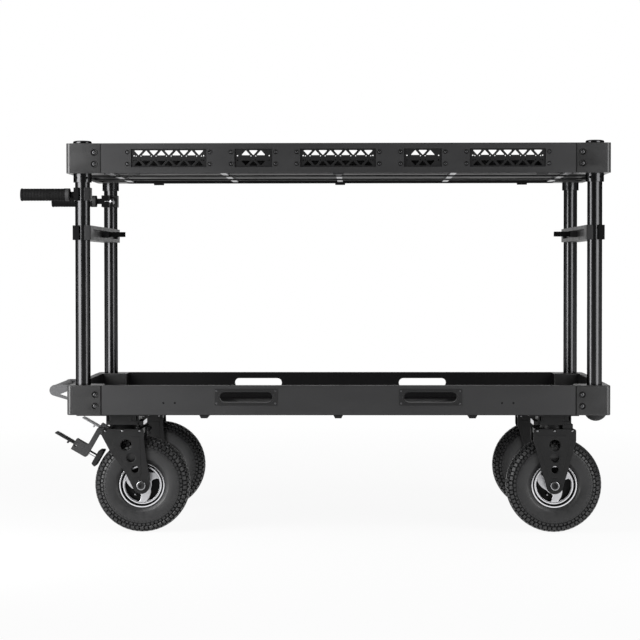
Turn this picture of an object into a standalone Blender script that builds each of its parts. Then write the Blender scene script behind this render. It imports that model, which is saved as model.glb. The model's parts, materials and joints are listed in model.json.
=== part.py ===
"""A cart workstation: a shelf and a tray on four posts, with two swivel and two rigid casters.

Lengths are in metres. X runs along the cart, Y across it and Z up from the floor. Places are given
from the centre of the tray, and the cart as a whole is set so that its outline is centred on X = 0.
Each piece is one closed solid; small screws that only fasten are not modelled here.
"""
import math

import bmesh
import bpy
from mathutils import Vector, geometry

# The whole cart
GAP = 0.0003
JOIN = 0.001
LENGTH = 1.377
WIDTH = 0.711
LOWER_RAIL_BOTTOM = 0.304
UPPER_RAIL_BOTTOM = 0.917

# Rails and corner blocks
RAIL_HEIGHT = 0.0755
RAIL_DEPTH = 0.020
RAIL_WALL = 0.0025
BLOCK_SIZE = 0.0865
BLOCK_ROUNDING = 0.010
BLOCK_EDGE = 0.0025
SCREW_RADIUS = 0.0046
SCREW_HEIGHT = 0.0012
SCREW_SIDES = 6

# Posts with their caps and collars
POST_RADIUS = 0.019
POST_WALL = 0.003
POST_INSET = 0.0375
POST_SIDES = 16
SOCKET_DEPTH = 0.055
CAP_RADIUS = 0.0235
CAP_HEIGHT = 0.0084
CAP_SPIGOT = 0.014
CAP_CURVE = ((1.0, 0.6), (0.8, 0.9), (0.45, 1.0))
COLLAR_RADIUS = 0.0233
COLLAR_HEIGHT = 0.022

# Windows of the upper rails and the mesh panels behind them
WINDOW_HEIGHT = 0.046
WINDOW_RAISE = 0.0003
WINDOW_PITCH = 0.214
LONG_WINDOW = 0.1914
SHORT_WINDOW = 0.0955
PANEL_DEPTH = 0.004
PANEL_LAP = 0.014
PANEL_LIP = 0.004
MESH_PITCH = 0.0383
MESH_TRIANGLE = 0.0230
MESH_ROW_HEIGHT = 0.0125
MESH_ROW_RISE = 0.0132
LONG_MESH_STEPS = 4
SHORT_MESH_STEPS = 1

# Floor, ribs, stringers and tabs of the upper shelf
SHELF_FLOOR_RISE = 0.008
SHELF_FLOOR_THICKNESS = 0.003
SHELF_LIP_WALL = 0.002
RIB_WIDTH = 0.015
RIB_MARGIN = 0.0015
RIB_RISE = 0.003
STRINGER_WIDTH = 0.030
STRINGER_SPREAD = 0.115
TAB_WIDTH = 0.028
TAB_DROP = 0.0045
TAB_PITCH = 0.516

# Tray floor, cross members and hand slots of the lower tray
TRAY_FLOOR_RISE = 0.002
TRAY_FLOOR_THICKNESS = 0.003
MEMBER_WIDTH = 0.024
MEMBER_TAPER = 0.004
MEMBER_DROP = 0.008
MEMBER_PITCH = 0.340
SLOT_SPREAD = 0.2335
SLOT_LENGTH = 0.134
SLOT_HEIGHT = 0.026
SLOT_RISE = 0.008
SLOT_END_SHARE = 0.98
FRAME_LIP = 0.010
FRAME_PROUD = 0.0012
SLEEVE_WALL = 0.0015
FOOT_CHORD = 0.054
FOOT_HEIGHT = 0.016
FOOT_INSET = 0.0345
FOOT_STEPS = (0.0, 0.3, 0.6, 0.85, 0.97)

# Bumper at the left end
BUMPER_HALF_SPAN = 0.150
BUMPER_REACH = 0.073
BUMPER_RADIUS = 0.0145
BUMPER_Z = 0.3555
BUMPER_PLATE = 0.008
BUMPER_FOOT_Z = 0.323
BUMPER_STRAP = 0.0065
BUMPER_TOP_STRAP = 0.009
BUMPER_ROOT_STRAP = 0.0039
BUMPER_NOSE_STRAP = 0.0016
BUMPER_TIP = 0.002

# Push handles on the left posts
HANDLE_Z = 0.865
SHAFT_BARE = 0.0138
GRIP_LENGTH = 0.127
GRIP_RADIUS = 0.0162
GRIP_WAIST = 0.0157
GRIP_RING = 0.017
GRIP_BORE_STOP = 0.012
GRIP_END = 0.0015
GRIP_BAND = 0.006
GRIP_STEP = 0.001
SHAFT_RADIUS = 0.0078
SHAFT_OFFSET = 0.031
CLAMP_HEIGHT = 0.033
CLAMP_HALF = 0.0217
CLAMP_SLOT = 0.0135
CLAMP_CLEARANCE = 0.0008
CLAMP_STEPS = 14
CLAMP_OUTER = 0.0245
CLAMP_EAR = 0.0435
CLAMP_EAR_END = 0.0035
CLAMP_CORNER = 0.004
CLAMP_ROUNDNESS = 0.85
NUT_RADIUS = 0.0086
NUT_LENGTH = 0.012

# Crossbars that slide on the posts, and their hooks
CROSSBAR_Z = 0.767
CROSSBAR_HEIGHT = 0.037
CROSSBAR_HALF = 0.0232
CROSSBAR_OUTER = 0.0245
CHANNEL_HEIGHT = 0.018
CHANNEL_DEPTH = 0.009
CHANNEL_STOP = 0.032
HOOK_HALF_WIDTH = 0.021
HOOK_REACH = 0.052
HOOK_HEIGHT = 0.013
HOOK_ROD = 0.008
HOOK_BASE = 0.010
HOOK_BASE_HEIGHT = 0.016
HOOK_ROUNDNESS = 0.9

# Casters
CASTER_INSET = 0.138
CASTER_EDGE_INSET = 0.0775
WHEEL_RADIUS = 0.1225
WHEEL_SIDES = 24
TREAD_HALF = 0.029
TYRE_CURVE = ((0.5738, 0.036), (0.76, 0.040), (0.94, 0.037))
BEAD_RADIUS = 0.058
BEAD_HALF = 0.028
RIM_HALF = 0.031
RIM_BARREL = 0.047
RIM_LIP = 0.006
RIM_OVERLAP = 0.002
DISC_NEAR = 0.010
DISC_FAR = 0.019
SPOKES = 3
SPOKE_PHASE = 14.0
SPOKE_TWIST = 16.0
SPOKE_OPENING = 98.0
SPOKE_HUB_SHARE = 0.56
SPOKE_ARC_STEPS = 4
SPOKE_EDGE = 0.002
SPOKE_HUB_EDGE = 0.0075
HUB_RADIUS = 0.0155
HUB_SIDES = 10
AXLE_RADIUS = 0.006
AXLE_HEAD_RADIUS = 0.0114
AXLE_HEAD = 0.006
RUNNING_GAP = 0.0005
TRAIL = 0.0477

# Caster forks and their brackets
FORK_HALF = 0.050
FORK_PLATE = 0.005
FORK_TOP = 0.1445
FORK_HALF_LENGTH = 0.054
FORK_BOSS = 0.0215
FORK_CORNER = 0.005
FORK_SCREW_SPREAD = 0.044
FORK_SCREW_Z = 0.1395
FORK_HOLE_RADII = (0.0142, 0.0112, 0.0091)
FORK_HOLE_PLACES = ((0.2, 0.286), (0.46, 0.51), (0.68, 0.715))
FORK_LEADING = ((0.014, 0.12), (0.25, 0.366), (0.75, 0.76))
FORK_TRAILING = ((1.06, 0.885), (0.49, 0.557), (0.05, 0.166))
FORK_RIGID = ((0.0, 0.21),)
BOSS_STEPS = 6
CROWN_THICKNESS = 0.014
CROWN_HALF_LENGTH = 0.050
RACE_RADIUS = 0.034
BRACKET_HALF = 0.042
BRACKET_HALF_WIDTH = 0.043
BRACKET_BOTTOM = 0.2767
BRACKET_CORNER = 0.006
KINGPIN_RADIUS = 0.010
KINGPIN_LENGTH = 0.018
PLATE_THICKNESS = 0.0025
PLATE_REACH_SWIVEL = 0.1157
PLATE_REACH_RIGID = 0.060
PLATE_INNER_REACH = 0.068
PLATE_HALF_WIDTH = 0.065

# Brakes of the swivel casters, measured out from the axle along a tilted line
BRAKE_TILT = 30.0
BRAKE_HALF_WIDTH = 0.014
PAD_NEAR = 0.1272
PAD_THICKNESS = 0.0125
PAD_LOW = -0.022
PAD_HIGH = 0.028
PAD_HALF_WIDTH = 0.030
PAD_FACE_CORNER = 0.003
PAD_BACK_CORNER = 0.004
PAD_HEEL = 0.004
PAD_TOE = 0.007
ARM_NEAR = 0.1598
ARM_WIDTH = 0.0122
HOUSING_FAR = 0.205
HOUSING_LOW = -0.0137
HOUSING_HIGH = 0.0168
HOUSING_CORNER = 0.005
ARM_CORNER = 0.003
ROD_RADIUS = 0.0025
ROD_RISE = 0.0050
GUIDE_RADIUS = 0.0014
GUIDE_RISE = -0.0025
ROD_DEPTH = 0.008
ROD_SPARE = 0.002
ROD_SINK = 0.004
PIVOT_OUT = 0.1985
PIVOT_RISE = -0.0007
PIVOT_HOLE = 0.0028
TONGUE_HALF_WIDTH = 0.0075
TONGUE_RADIUS = 0.0066
PEDAL_NEAR = 0.2065
PEDAL_LENGTH = 0.053
PEDAL_THICKNESS = 0.0036
PEDAL_RISE = 0.0035
PEDAL_HALF_WIDTH = 0.028
STUB_OUT = 0.012
STUB_WIDTH = 0.004
STUB_DROP = 0.008
STUB_HALF_WIDTH = 0.01125
PEDAL_EDGE = 0.001
TONGUE_REACH = 0.004
TONGUE_STEPS = 8
TONGUE_END = 291.0

# Looks: colour, roughness and metallic value
ANODISED = ((0.045, 0.045, 0.047), 0.42, 0.6)
POST_BLACK = ((0.03, 0.03, 0.032), 0.25, 0.8)
SATIN_METAL = ((0.35, 0.35, 0.36), 0.35, 1.0)
POWDER_BLACK = ((0.03, 0.03, 0.032), 0.5, 0.3)
CHROME = ((0.75, 0.75, 0.76), 0.12, 1.0)
RUBBER = ((0.022, 0.022, 0.022), 0.85, 0.0)
BLACK_PLASTIC = ((0.02, 0.02, 0.021), 0.55, 0.0)

HALF_LENGTH = LENGTH / 2
HALF_WIDTH = WIDTH / 2
POST_X = HALF_LENGTH - POST_INSET
POST_Y = HALF_WIDTH - POST_INSET
CASTER_X = HALF_LENGTH - CASTER_INSET
CASTER_Y = HALF_WIDTH - CASTER_EDGE_INSET
HANDLE_REACH = POST_X + CLAMP_HALF + SHAFT_BARE + GRIP_LENGTH
TRAY_CENTRE_X = (HANDLE_REACH - HALF_LENGTH) / 2
RIB_PITCH = (HALF_LENGTH - BLOCK_SIZE - RIB_MARGIN - RIB_WIDTH / 2) / 2
BORE_RADIUS = POST_RADIUS + GAP
AXLE_Z = WHEEL_RADIUS
FORK_TOP_Z = AXLE_Z + FORK_TOP
UPPER_RAIL_TOP = UPPER_RAIL_BOTTOM + RAIL_HEIGHT
LOWER_RAIL_TOP = LOWER_RAIL_BOTTOM + RAIL_HEIGHT
WINDOW_MIDDLE = UPPER_RAIL_BOTTOM + RAIL_HEIGHT / 2 + WINDOW_RAISE
LEFT, RIGHT, FRONT, BACK = -1, 1, -1, 1
SIDE_NAMES = {FRONT: "front", BACK: "back"}
END_NAMES = {LEFT: "left", RIGHT: "right"}
CORNERS = [(end, side) for end in (LEFT, RIGHT) for side in (FRONT, BACK)]


def corner_name(end, side):
    """Return the name of a corner."""
    return f"{SIDE_NAMES[side]}_{END_NAMES[end]}"


# Flat outlines
def circle(u, v, radius, sides, phase=0.0):
    """Return the corners of a regular outline about (u, v)."""
    angles = [2 * math.pi * (step + phase) / sides for step in range(sides)]
    return [(u + radius * math.cos(a), v + radius * math.sin(a)) for a in angles]


def rectangle(u_low, u_high, v_low, v_high):
    """Return the four corners of a rectangle."""
    return [(u_low, v_low), (u_high, v_low), (u_high, v_high), (u_low, v_high)]


def rounded(corners, steps=3):
    """Return an outline whose corners (u, v, radius) are rounded where a radius is given."""
    outline = []
    for index, (u, v, radius) in enumerate(corners):
        if not radius:
            outline.append((u, v))
            continue
        here = Vector((u, v))
        before = (Vector(corners[index - 1][:2]) - here).normalized()
        after = (Vector(corners[(index + 1) % len(corners)][:2]) - here).normalized()
        half_angle = before.angle(after) / 2
        centre = here + (before + after).normalized() * (radius / math.sin(half_angle))
        start = here + before * (radius / math.tan(half_angle)) - centre
        end = here + after * (radius / math.tan(half_angle)) - centre
        for step in range(steps + 1):
            point = centre + start.slerp(end, step / steps) * radius
            outline.append((point.x, point.y))
    return outline


def rounded_rectangle(u_low, u_high, v_low, v_high, radius, steps=3):
    """Return a rectangle with four rounded corners."""
    return rounded([(u, v, radius) for u, v in rectangle(u_low, u_high, v_low, v_high)], steps)


def tangent_angle(point, centre, radius, turn):
    """Return the angle on a circle where the line from a point touches it."""
    across = Vector(point) - Vector(centre)
    lean = math.acos(radius / across.length)
    return math.atan2(across.y, across.x) + turn * lean


# Solids
def on_axis(axis, u, v, along):
    """Return the point at (u, v) across an axis and a distance along it."""
    return {"X": (along, u, v), "Y": (u, along, v), "Z": (u, v, along)}[axis]


def prism(outline, low, high, axis, holes=()):
    """Return the solid that an outline with holes makes between two levels of an axis."""
    loops = [outline, *holes]
    points = [point for loop in loops for point in loop]
    solid = bmesh.new()
    ends = [[solid.verts.new(on_axis(axis, u, v, level)) for u, v in points] for level in (low, high)]
    if holes:
        faces = geometry.tessellate_polygon([[Vector((u, v, 0)) for u, v in loop] for loop in loops])
    else:
        faces = [range(len(points))]
    for face in faces:
        for end in ends:
            solid.faces.new([end[index] for index in face])
    start = 0
    for loop in loops:
        for index in range(len(loop)):
            a = start + index
            b = start + (index + 1) % len(loop)
            solid.faces.new((ends[0][a], ends[0][b], ends[1][b], ends[1][a]))
        start += len(loop)
    return solid


def box(x_low, x_high, y_low, y_high, z_low, z_high):
    """Return a block."""
    return prism(rectangle(x_low, x_high, y_low, y_high), z_low, z_high, "Z")


def loft(rings, closed):
    """Return the solid through rings of points, capped at its ends or closed on itself."""
    solid = bmesh.new()
    loops = [[solid.verts.new(point) for point in ring] for ring in rings]
    pairs = list(zip(loops, loops[1:]))
    if closed:
        pairs.append((loops[-1], loops[0]))
    else:
        solid.faces.new(loops[0])
        solid.faces.new(loops[-1])
    for one, other in pairs:
        for index in range(len(one)):
            following = (index + 1) % len(one)
            solid.faces.new((one[index], one[following], other[following], other[index]))
    return solid


def turned(profile, axis, u, v, sides, closed=False, phase=0.0):
    """Return the solid of a profile of (radius, distance) turned about an axis through (u, v)."""
    rings = []
    for radius, along in profile:
        rings.append([on_axis(axis, *point, along) for point in circle(u, v, radius, sides, phase)])
    return loft(rings, closed)


def cylinder(radius, low, high, axis, u, v, sides):
    """Return a round bar along an axis."""
    return prism(circle(u, v, radius, sides), low, high, axis)


def temporary(solid):
    """Return an object that holds a solid while shapes are combined."""
    bmesh.ops.recalc_face_normals(solid, faces=solid.faces)
    mesh = bpy.data.meshes.new("temporary")
    solid.to_mesh(mesh)
    holder = bpy.data.objects.new("temporary", mesh)
    bpy.context.scene.collection.objects.link(holder)
    return holder


def combined(base, tools, operation):
    """Return a solid with others cut from it or joined to it."""
    host = temporary(base)
    others = [temporary(tool) for tool in tools]
    for other in others:
        modifier = host.modifiers.new("combine", "BOOLEAN")
        modifier.object = other
        modifier.operation = operation
        modifier.solver = "EXACT"
    result = bmesh.new()
    result.from_mesh(host.evaluated_get(bpy.context.evaluated_depsgraph_get()).to_mesh())
    for holder in (host, *others):
        bpy.data.objects.remove(holder, do_unlink=True)
    return result


def cut(base, tools):
    """Return a solid without the space of the tools."""
    return combined(base, tools, "DIFFERENCE")


def joined(base, others):
    """Return one solid from a solid and others that overlap it."""
    return combined(base, others, "UNION")


def material(name, colour, roughness, metallic):
    """Return a Principled material."""
    made = bpy.data.materials.new(name)
    made.use_nodes = True
    shader = made.node_tree.nodes["Principled BSDF"]
    shader.inputs["Base Color"].default_value = (*colour, 1.0)
    shader.inputs["Roughness"].default_value = roughness
    shader.inputs["Metallic"].default_value = metallic
    made.diffuse_color = (*colour, 1.0)
    return made


def node(name, look, solid, pivot=(0.0, 0.0, 0.0)):
    """Make one named piece of the cart from a solid, with its origin at the pivot."""
    bmesh.ops.recalc_face_normals(solid, faces=solid.faces)
    bmesh.ops.translate(solid, vec=-Vector(pivot), verts=solid.verts)
    mesh = bpy.data.meshes.new(name)
    solid.to_mesh(mesh)
    mesh.shade_smooth()
    mesh.set_sharp_from_angle(angle=math.radians(35))
    mesh.materials.append(material(name, *look))
    piece = bpy.data.objects.new(name, mesh)
    bpy.context.scene.collection.objects.link(piece)
    piece.parent = bpy.data.objects["cart"]
    piece.location = pivot
    return piece


def screw_head(u, v, face, outward):
    """Return a screw head that stands on a face across Y and reaches a little into it."""
    return cylinder(SCREW_RADIUS, face - outward * JOIN, face + outward * SCREW_HEIGHT, "Y", u, v,
                    SCREW_SIDES)


# Rails and corner blocks
def rail_tube(axis, centre, half_span, bottom):
    """Return a square tube along an axis, open at both ends, centred across on the given place."""
    half = RAIL_DEPTH / 2
    top = bottom + RAIL_HEIGHT
    outer = rectangle(centre - half, centre + half, bottom, top)
    inner = rectangle(centre - half + RAIL_WALL, centre + half - RAIL_WALL,
                      bottom + RAIL_WALL, top - RAIL_WALL)
    return prism(outer, -half_span, half_span, axis, [inner])


def window_cutter(axis, centre, place, length):
    """Return the solid that cuts one window through a rail."""
    outline = rectangle(place - length / 2, place + length / 2,
                        WINDOW_MIDDLE - WINDOW_HEIGHT / 2, WINDOW_MIDDLE + WINDOW_HEIGHT / 2)
    return prism(outline, centre - RAIL_DEPTH, centre + RAIL_DEPTH, axis)


def long_windows():
    """Return the place, length and mesh steps of each window in a long rail."""
    windows = []
    for index in range(-2, 3):
        if index % 2:
            windows.append((index * WINDOW_PITCH, SHORT_WINDOW, SHORT_MESH_STEPS))
        else:
            windows.append((index * WINDOW_PITCH, LONG_WINDOW, LONG_MESH_STEPS))
    return windows


def end_windows():
    """Return the one window of an end rail."""
    return [(0.0, LONG_WINDOW, LONG_MESH_STEPS)]


def rail_tabs(side):
    """Return the tabs that hang from the bottom wall of a long rail of the shelf."""
    outer = side * (HALF_WIDTH - RAIL_WALL)
    inner = side * (HALF_WIDTH - RAIL_DEPTH + RAIL_WALL)
    tabs = []
    for index in (-1, 0, 1):
        tabs.append(box(index * TAB_PITCH - TAB_WIDTH / 2, index * TAB_PITCH + TAB_WIDTH / 2,
                        min(outer, inner), max(outer, inner),
                        UPPER_RAIL_BOTTOM - TAB_DROP, UPPER_RAIL_BOTTOM + JOIN))
    return tabs


def make_upper_rails():
    """Make the four rails of the shelf, with their windows and tabs."""
    half_long = HALF_LENGTH - BLOCK_SIZE - GAP
    half_short = HALF_WIDTH - BLOCK_SIZE - GAP
    for side, name in SIDE_NAMES.items():
        centre = side * (HALF_WIDTH - RAIL_DEPTH / 2)
        tube = rail_tube("X", centre, half_long, UPPER_RAIL_BOTTOM)
        cutters = [window_cutter("Y", centre, place, length) for place, length, _ in long_windows()]
        node("upper_rail_" + name, ANODISED, joined(cut(tube, cutters), rail_tabs(side)))
    for end, name in END_NAMES.items():
        centre = end * (HALF_LENGTH - RAIL_DEPTH / 2)
        tube = rail_tube("Y", centre, half_short, UPPER_RAIL_BOTTOM)
        cutters = [window_cutter("X", centre, place, length) for place, length, _ in end_windows()]
        node("upper_rail_" + name, ANODISED, cut(tube, cutters))


def slot_outline(end, grow):
    """Return the outline of a hand slot, grown evenly by the given amount."""
    half_long = SLOT_LENGTH / 2 + grow
    half_tall = SLOT_HEIGHT / 2 + grow
    middle = LOWER_RAIL_BOTTOM + RAIL_HEIGHT / 2 + SLOT_RISE
    x = end * SLOT_SPREAD
    return rounded_rectangle(x - half_long, x + half_long, middle - half_tall, middle + half_tall,
                             half_tall * SLOT_END_SHARE, 4)


def slot_frame(end, side):
    """Return the sleeve that lines a hand slot and the raised frame round its mouth."""
    face = side * HALF_WIDTH
    back = side * (HALF_WIDTH - RAIL_DEPTH)
    sleeve = prism(slot_outline(end, SLEEVE_WALL), back + side * RAIL_WALL / 2,
                   face - side * RAIL_WALL / 2, "Y")
    frame = prism(slot_outline(end, FRAME_LIP), face - side * JOIN, face + side * FRAME_PROUD, "Y")
    return [sleeve, frame]


def make_lower_rails():
    """Make the four rails of the tray, the long ones with framed hand slots."""
    half_long = HALF_LENGTH - BLOCK_SIZE - GAP
    half_short = HALF_WIDTH - BLOCK_SIZE - GAP
    for side, name in SIDE_NAMES.items():
        centre = side * (HALF_WIDTH - RAIL_DEPTH / 2)
        tube = rail_tube("X", centre, half_long, LOWER_RAIL_BOTTOM)
        framed = joined(tube, [*slot_frame(LEFT, side), *slot_frame(RIGHT, side)])
        slots = [prism(slot_outline(end, 0.0), centre - RAIL_DEPTH, centre + RAIL_DEPTH, "Y")
                 for end in (LEFT, RIGHT)]
        node("lower_rail_" + name, ANODISED, cut(framed, slots))
    for end, name in END_NAMES.items():
        centre = end * (HALF_LENGTH - RAIL_DEPTH / 2)
        node("lower_rail_" + name, ANODISED, rail_tube("Y", centre, half_short, LOWER_RAIL_BOTTOM))


def block_outline(end, side):
    """Return the plan of a corner block, rounded at the cart's corner."""
    inner_x = end * (HALF_LENGTH - BLOCK_SIZE)
    inner_y = side * (HALF_WIDTH - BLOCK_SIZE)
    outer_x = end * HALF_LENGTH
    outer_y = side * HALF_WIDTH
    return rounded([(inner_x, inner_y, BLOCK_EDGE), (outer_x, inner_y, 0),
                    (outer_x, outer_y, BLOCK_ROUNDING), (inner_x, outer_y, 0)])


def make_corner_blocks():
    """Make the blocks that join the rails: the upper ones clamp the posts, the lower ones seat them."""
    for end, side in CORNERS:
        name = corner_name(end, side)
        x = end * POST_X
        y = side * POST_Y
        outline = block_outline(end, side)
        upper = prism(outline, UPPER_RAIL_BOTTOM, UPPER_RAIL_TOP, "Z")
        collar = cylinder(COLLAR_RADIUS, UPPER_RAIL_BOTTOM - COLLAR_HEIGHT, UPPER_RAIL_BOTTOM + JOIN, "Z",
                          x, y, POST_SIDES)
        bore = cylinder(BORE_RADIUS, LOWER_RAIL_TOP, UPPER_RAIL_TOP + RAIL_HEIGHT, "Z", x, y, POST_SIDES)
        node(f"upper_block_{name}", ANODISED, cut(joined(upper, [collar]), [bore]))
        lower = prism(outline, LOWER_RAIL_BOTTOM, LOWER_RAIL_TOP, "Z")
        socket = cylinder(BORE_RADIUS, LOWER_RAIL_TOP - SOCKET_DEPTH, UPPER_RAIL_BOTTOM, "Z", x, y,
                          POST_SIDES)
        node(f"lower_block_{name}", ANODISED, cut(lower, [socket]))


# Mesh panels
def mesh_triangles(steps):
    """Return the centres and directions of the openings along one row."""
    half_pitch = MESH_PITCH / 2
    return [(step * half_pitch, -1 if step % 2 == 0 else 1) for step in range(-steps, steps + 1)]


def mesh_holes(place, steps):
    """Return the openings of one window: two rows of triangles that mirror each other."""
    holes = []
    for row in (1, -1):
        centre = WINDOW_MIDDLE + row * MESH_ROW_RISE
        for offset, point in mesh_triangles(steps):
            base = centre - row * point * MESH_ROW_HEIGHT / 2
            tip = centre + row * point * MESH_ROW_HEIGHT / 2
            u = place + offset
            holes.append([(u - MESH_TRIANGLE / 2, base), (u + MESH_TRIANGLE / 2, base), (u, tip)])
    return holes


def make_mesh_panels():
    """Make the mesh panel of each shelf rail, a strip that lies behind the rail's outer wall."""
    tall = WINDOW_HEIGHT / 2 + PANEL_LIP
    places = [("Y", side, name, HALF_WIDTH, long_windows()) for side, name in SIDE_NAMES.items()]
    places += [("X", end, name, HALF_LENGTH, end_windows()) for end, name in END_NAMES.items()]
    for axis, outward, name, reach, windows in places:
        half = max(place + length / 2 for place, length, _ in windows) + PANEL_LAP
        holes = []
        for place, _, steps in windows:
            holes += mesh_holes(place, steps)
        front = outward * (reach - RAIL_WALL - GAP)
        outline = rectangle(-half, half, WINDOW_MIDDLE - tall, WINDOW_MIDDLE + tall)
        panel = prism(outline, front - outward * PANEL_DEPTH, front, axis, holes)
        node("mesh_panel_" + name, BLACK_PLASTIC, panel)


# Shelf and tray floors
def floor_outline(margin):
    """Return the plan of a floor, a margin away from the rails and the corner blocks."""
    long_x = HALF_LENGTH - RAIL_DEPTH - margin
    short_x = HALF_LENGTH - BLOCK_SIZE - margin
    long_y = HALF_WIDTH - RAIL_DEPTH - margin
    short_y = HALF_WIDTH - BLOCK_SIZE - margin
    return [(long_x, short_y), (short_x, short_y), (short_x, long_y),
            (-short_x, long_y), (-short_x, short_y), (-long_x, short_y),
            (-long_x, -short_y), (-short_x, -short_y), (-short_x, -long_y),
            (short_x, -long_y), (short_x, -short_y), (long_x, -short_y)]


def make_shelf():
    """Make the shelf's floor with its raised lip, and the frame of ribs and stringers under it."""
    floor = UPPER_RAIL_BOTTOM + SHELF_FLOOR_RISE
    pan = prism(floor_outline(GAP), floor, WINDOW_MIDDLE, "Z")
    hollow = prism(floor_outline(GAP + SHELF_LIP_WALL), floor + SHELF_FLOOR_THICKNESS, UPPER_RAIL_TOP, "Z")
    node("shelf_floor", ANODISED, cut(pan, [hollow]))
    rib_bottom = UPPER_RAIL_BOTTOM + RIB_RISE
    half_y = HALF_WIDTH - RAIL_DEPTH - GAP
    ribs = [box(index * RIB_PITCH - RIB_WIDTH / 2, index * RIB_PITCH + RIB_WIDTH / 2,
                -half_y, half_y, rib_bottom, floor - GAP) for index in range(-2, 3)]
    reach = HALF_LENGTH - RAIL_DEPTH - GAP
    stringers = [box(-reach, reach, side * STRINGER_SPREAD - STRINGER_WIDTH / 2,
                     side * STRINGER_SPREAD + STRINGER_WIDTH / 2, UPPER_RAIL_BOTTOM, rib_bottom + JOIN)
                 for side in (FRONT, BACK)]
    node("shelf_frame", SATIN_METAL, joined(stringers[0], [*ribs, stringers[1]]))


def cross_member(x, floor):
    """Return the two parts of a cross member: a bar under the rails and a rib up to the floor."""
    top = LOWER_RAIL_BOTTOM - GAP
    bottom = LOWER_RAIL_BOTTOM - MEMBER_DROP
    half = MEMBER_WIDTH / 2
    outline = [(x - half, top), (x - half + MEMBER_TAPER, bottom), (x + half - MEMBER_TAPER, bottom),
               (x + half, top)]
    bar = prism(outline, -HALF_WIDTH + RAIL_WALL, HALF_WIDTH - RAIL_WALL, "Y")
    reach = HALF_WIDTH - RAIL_DEPTH - 2 * GAP
    rib = box(x - half + MEMBER_TAPER, x + half - MEMBER_TAPER, -reach, reach, top - JOIN, floor + JOIN)
    return [bar, rib]


def make_tray():
    """Make the tray's floor with the cross members that carry it."""
    floor = LOWER_RAIL_BOTTOM + TRAY_FLOOR_RISE
    plate = prism(floor_outline(GAP), floor, floor + TRAY_FLOOR_THICKNESS, "Z")
    members = []
    for index in (-1, 0, 1):
        members += cross_member(index * MEMBER_PITCH, floor)
    node("tray_floor", ANODISED, joined(plate, members))


def make_feet():
    """Make the domed rubber feet under the right corner blocks."""
    top = LOWER_RAIL_BOTTOM - GAP
    sphere = (FOOT_CHORD ** 2 / 4 + FOOT_HEIGHT ** 2) / (2 * FOOT_HEIGHT)
    profile = []
    for share in FOOT_STEPS:
        drop = FOOT_HEIGHT * share
        above = sphere - FOOT_HEIGHT + drop
        profile.append((math.sqrt(sphere ** 2 - above ** 2), top - drop))
    for side, name in SIDE_NAMES.items():
        node(f"foot_{name}_right", RUBBER,
             turned(profile, "Z", HALF_LENGTH - FOOT_INSET, side * POST_Y, 16))


# Bumper
def make_bumper():
    """Make the bumper: a round bar between two arm plates."""
    nose_x = -(HALF_LENGTH + BUMPER_REACH - BUMPER_RADIUS)
    root_x = -(HALF_LENGTH + GAP)
    nose = (nose_x, BUMPER_Z)
    top = BUMPER_Z + BUMPER_RADIUS
    foot = (root_x, BUMPER_FOOT_Z)
    low_angle = tangent_angle(foot, nose, BUMPER_RADIUS, -1) + 2 * math.pi
    turns = [math.pi / 2 + (low_angle - math.pi / 2) * step / 8 for step in range(9)]
    edge = [(nose_x + BUMPER_RADIUS * math.cos(a), BUMPER_Z + BUMPER_RADIUS * math.sin(a)) for a in turns]
    outline = [(root_x, top), *edge, foot]
    slope = (edge[-1][1] - foot[1]) / (root_x - edge[-1][0])
    vertex_x = nose_x + BUMPER_RADIUS - BUMPER_NOSE_STRAP
    window_end = root_x - BUMPER_ROOT_STRAP
    low = BUMPER_FOOT_Z + BUMPER_STRAP + slope * (root_x - window_end)
    low_vertex = BUMPER_FOOT_Z + BUMPER_STRAP + slope * (root_x - vertex_x)
    window = [(vertex_x, low_vertex + BUMPER_TIP), (window_end, top - BUMPER_TOP_STRAP), (window_end, low)]
    plates = []
    for side in (FRONT, BACK):
        inner = side * (BUMPER_HALF_SPAN - BUMPER_PLATE)
        plates.append(prism(outline, inner, side * BUMPER_HALF_SPAN, "Y", [window]))
    span = BUMPER_HALF_SPAN - BUMPER_PLATE / 2
    bar = cylinder(BUMPER_RADIUS - JOIN, -span, span, "Y", nose_x, BUMPER_Z, 16)
    node("end_bumper", ANODISED, joined(bar, plates))


# Posts
def make_posts():
    """Make the four posts, tubes that seat in the lower blocks and end in a cap over the upper ones."""
    inner = POST_RADIUS - POST_WALL
    bottom = LOWER_RAIL_TOP - SOCKET_DEPTH + GAP
    seat = UPPER_RAIL_TOP + GAP
    profile = [(inner, seat - CAP_SPIGOT), (inner, bottom), (POST_RADIUS, bottom), (POST_RADIUS, seat),
               (CAP_RADIUS, seat)]
    for across, up in CAP_CURVE:
        profile.append((CAP_RADIUS * across, UPPER_RAIL_TOP + CAP_HEIGHT * up))
    for end, side in CORNERS:
        post = turned(profile, "Z", end * POST_X, side * POST_Y, POST_SIDES)
        node(f"post_{corner_name(end, side)}", POST_BLACK, post)


def keyhole(end, side, half, outer):
    """Return the open edge of a split clamp round a post, from one jaw's tip to the other's."""
    x = end * POST_X
    y = side * POST_Y
    lip = CLAMP_SLOT / 2
    bore = POST_RADIUS + CLAMP_CLEARANCE
    start = math.asin(lip / bore)
    edge = [(x - lip, y + side * outer)]
    for step in range(CLAMP_STEPS + 1):
        angle = start + (2 * math.pi - 2 * start) * step / CLAMP_STEPS
        edge.append((x - bore * math.sin(angle), y + side * bore * math.cos(angle)))
    edge.append((x + lip, y + side * outer))
    left = (x - half, y + side * outer)
    right = (x + half, y + side * outer)
    return left, edge, right


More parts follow.
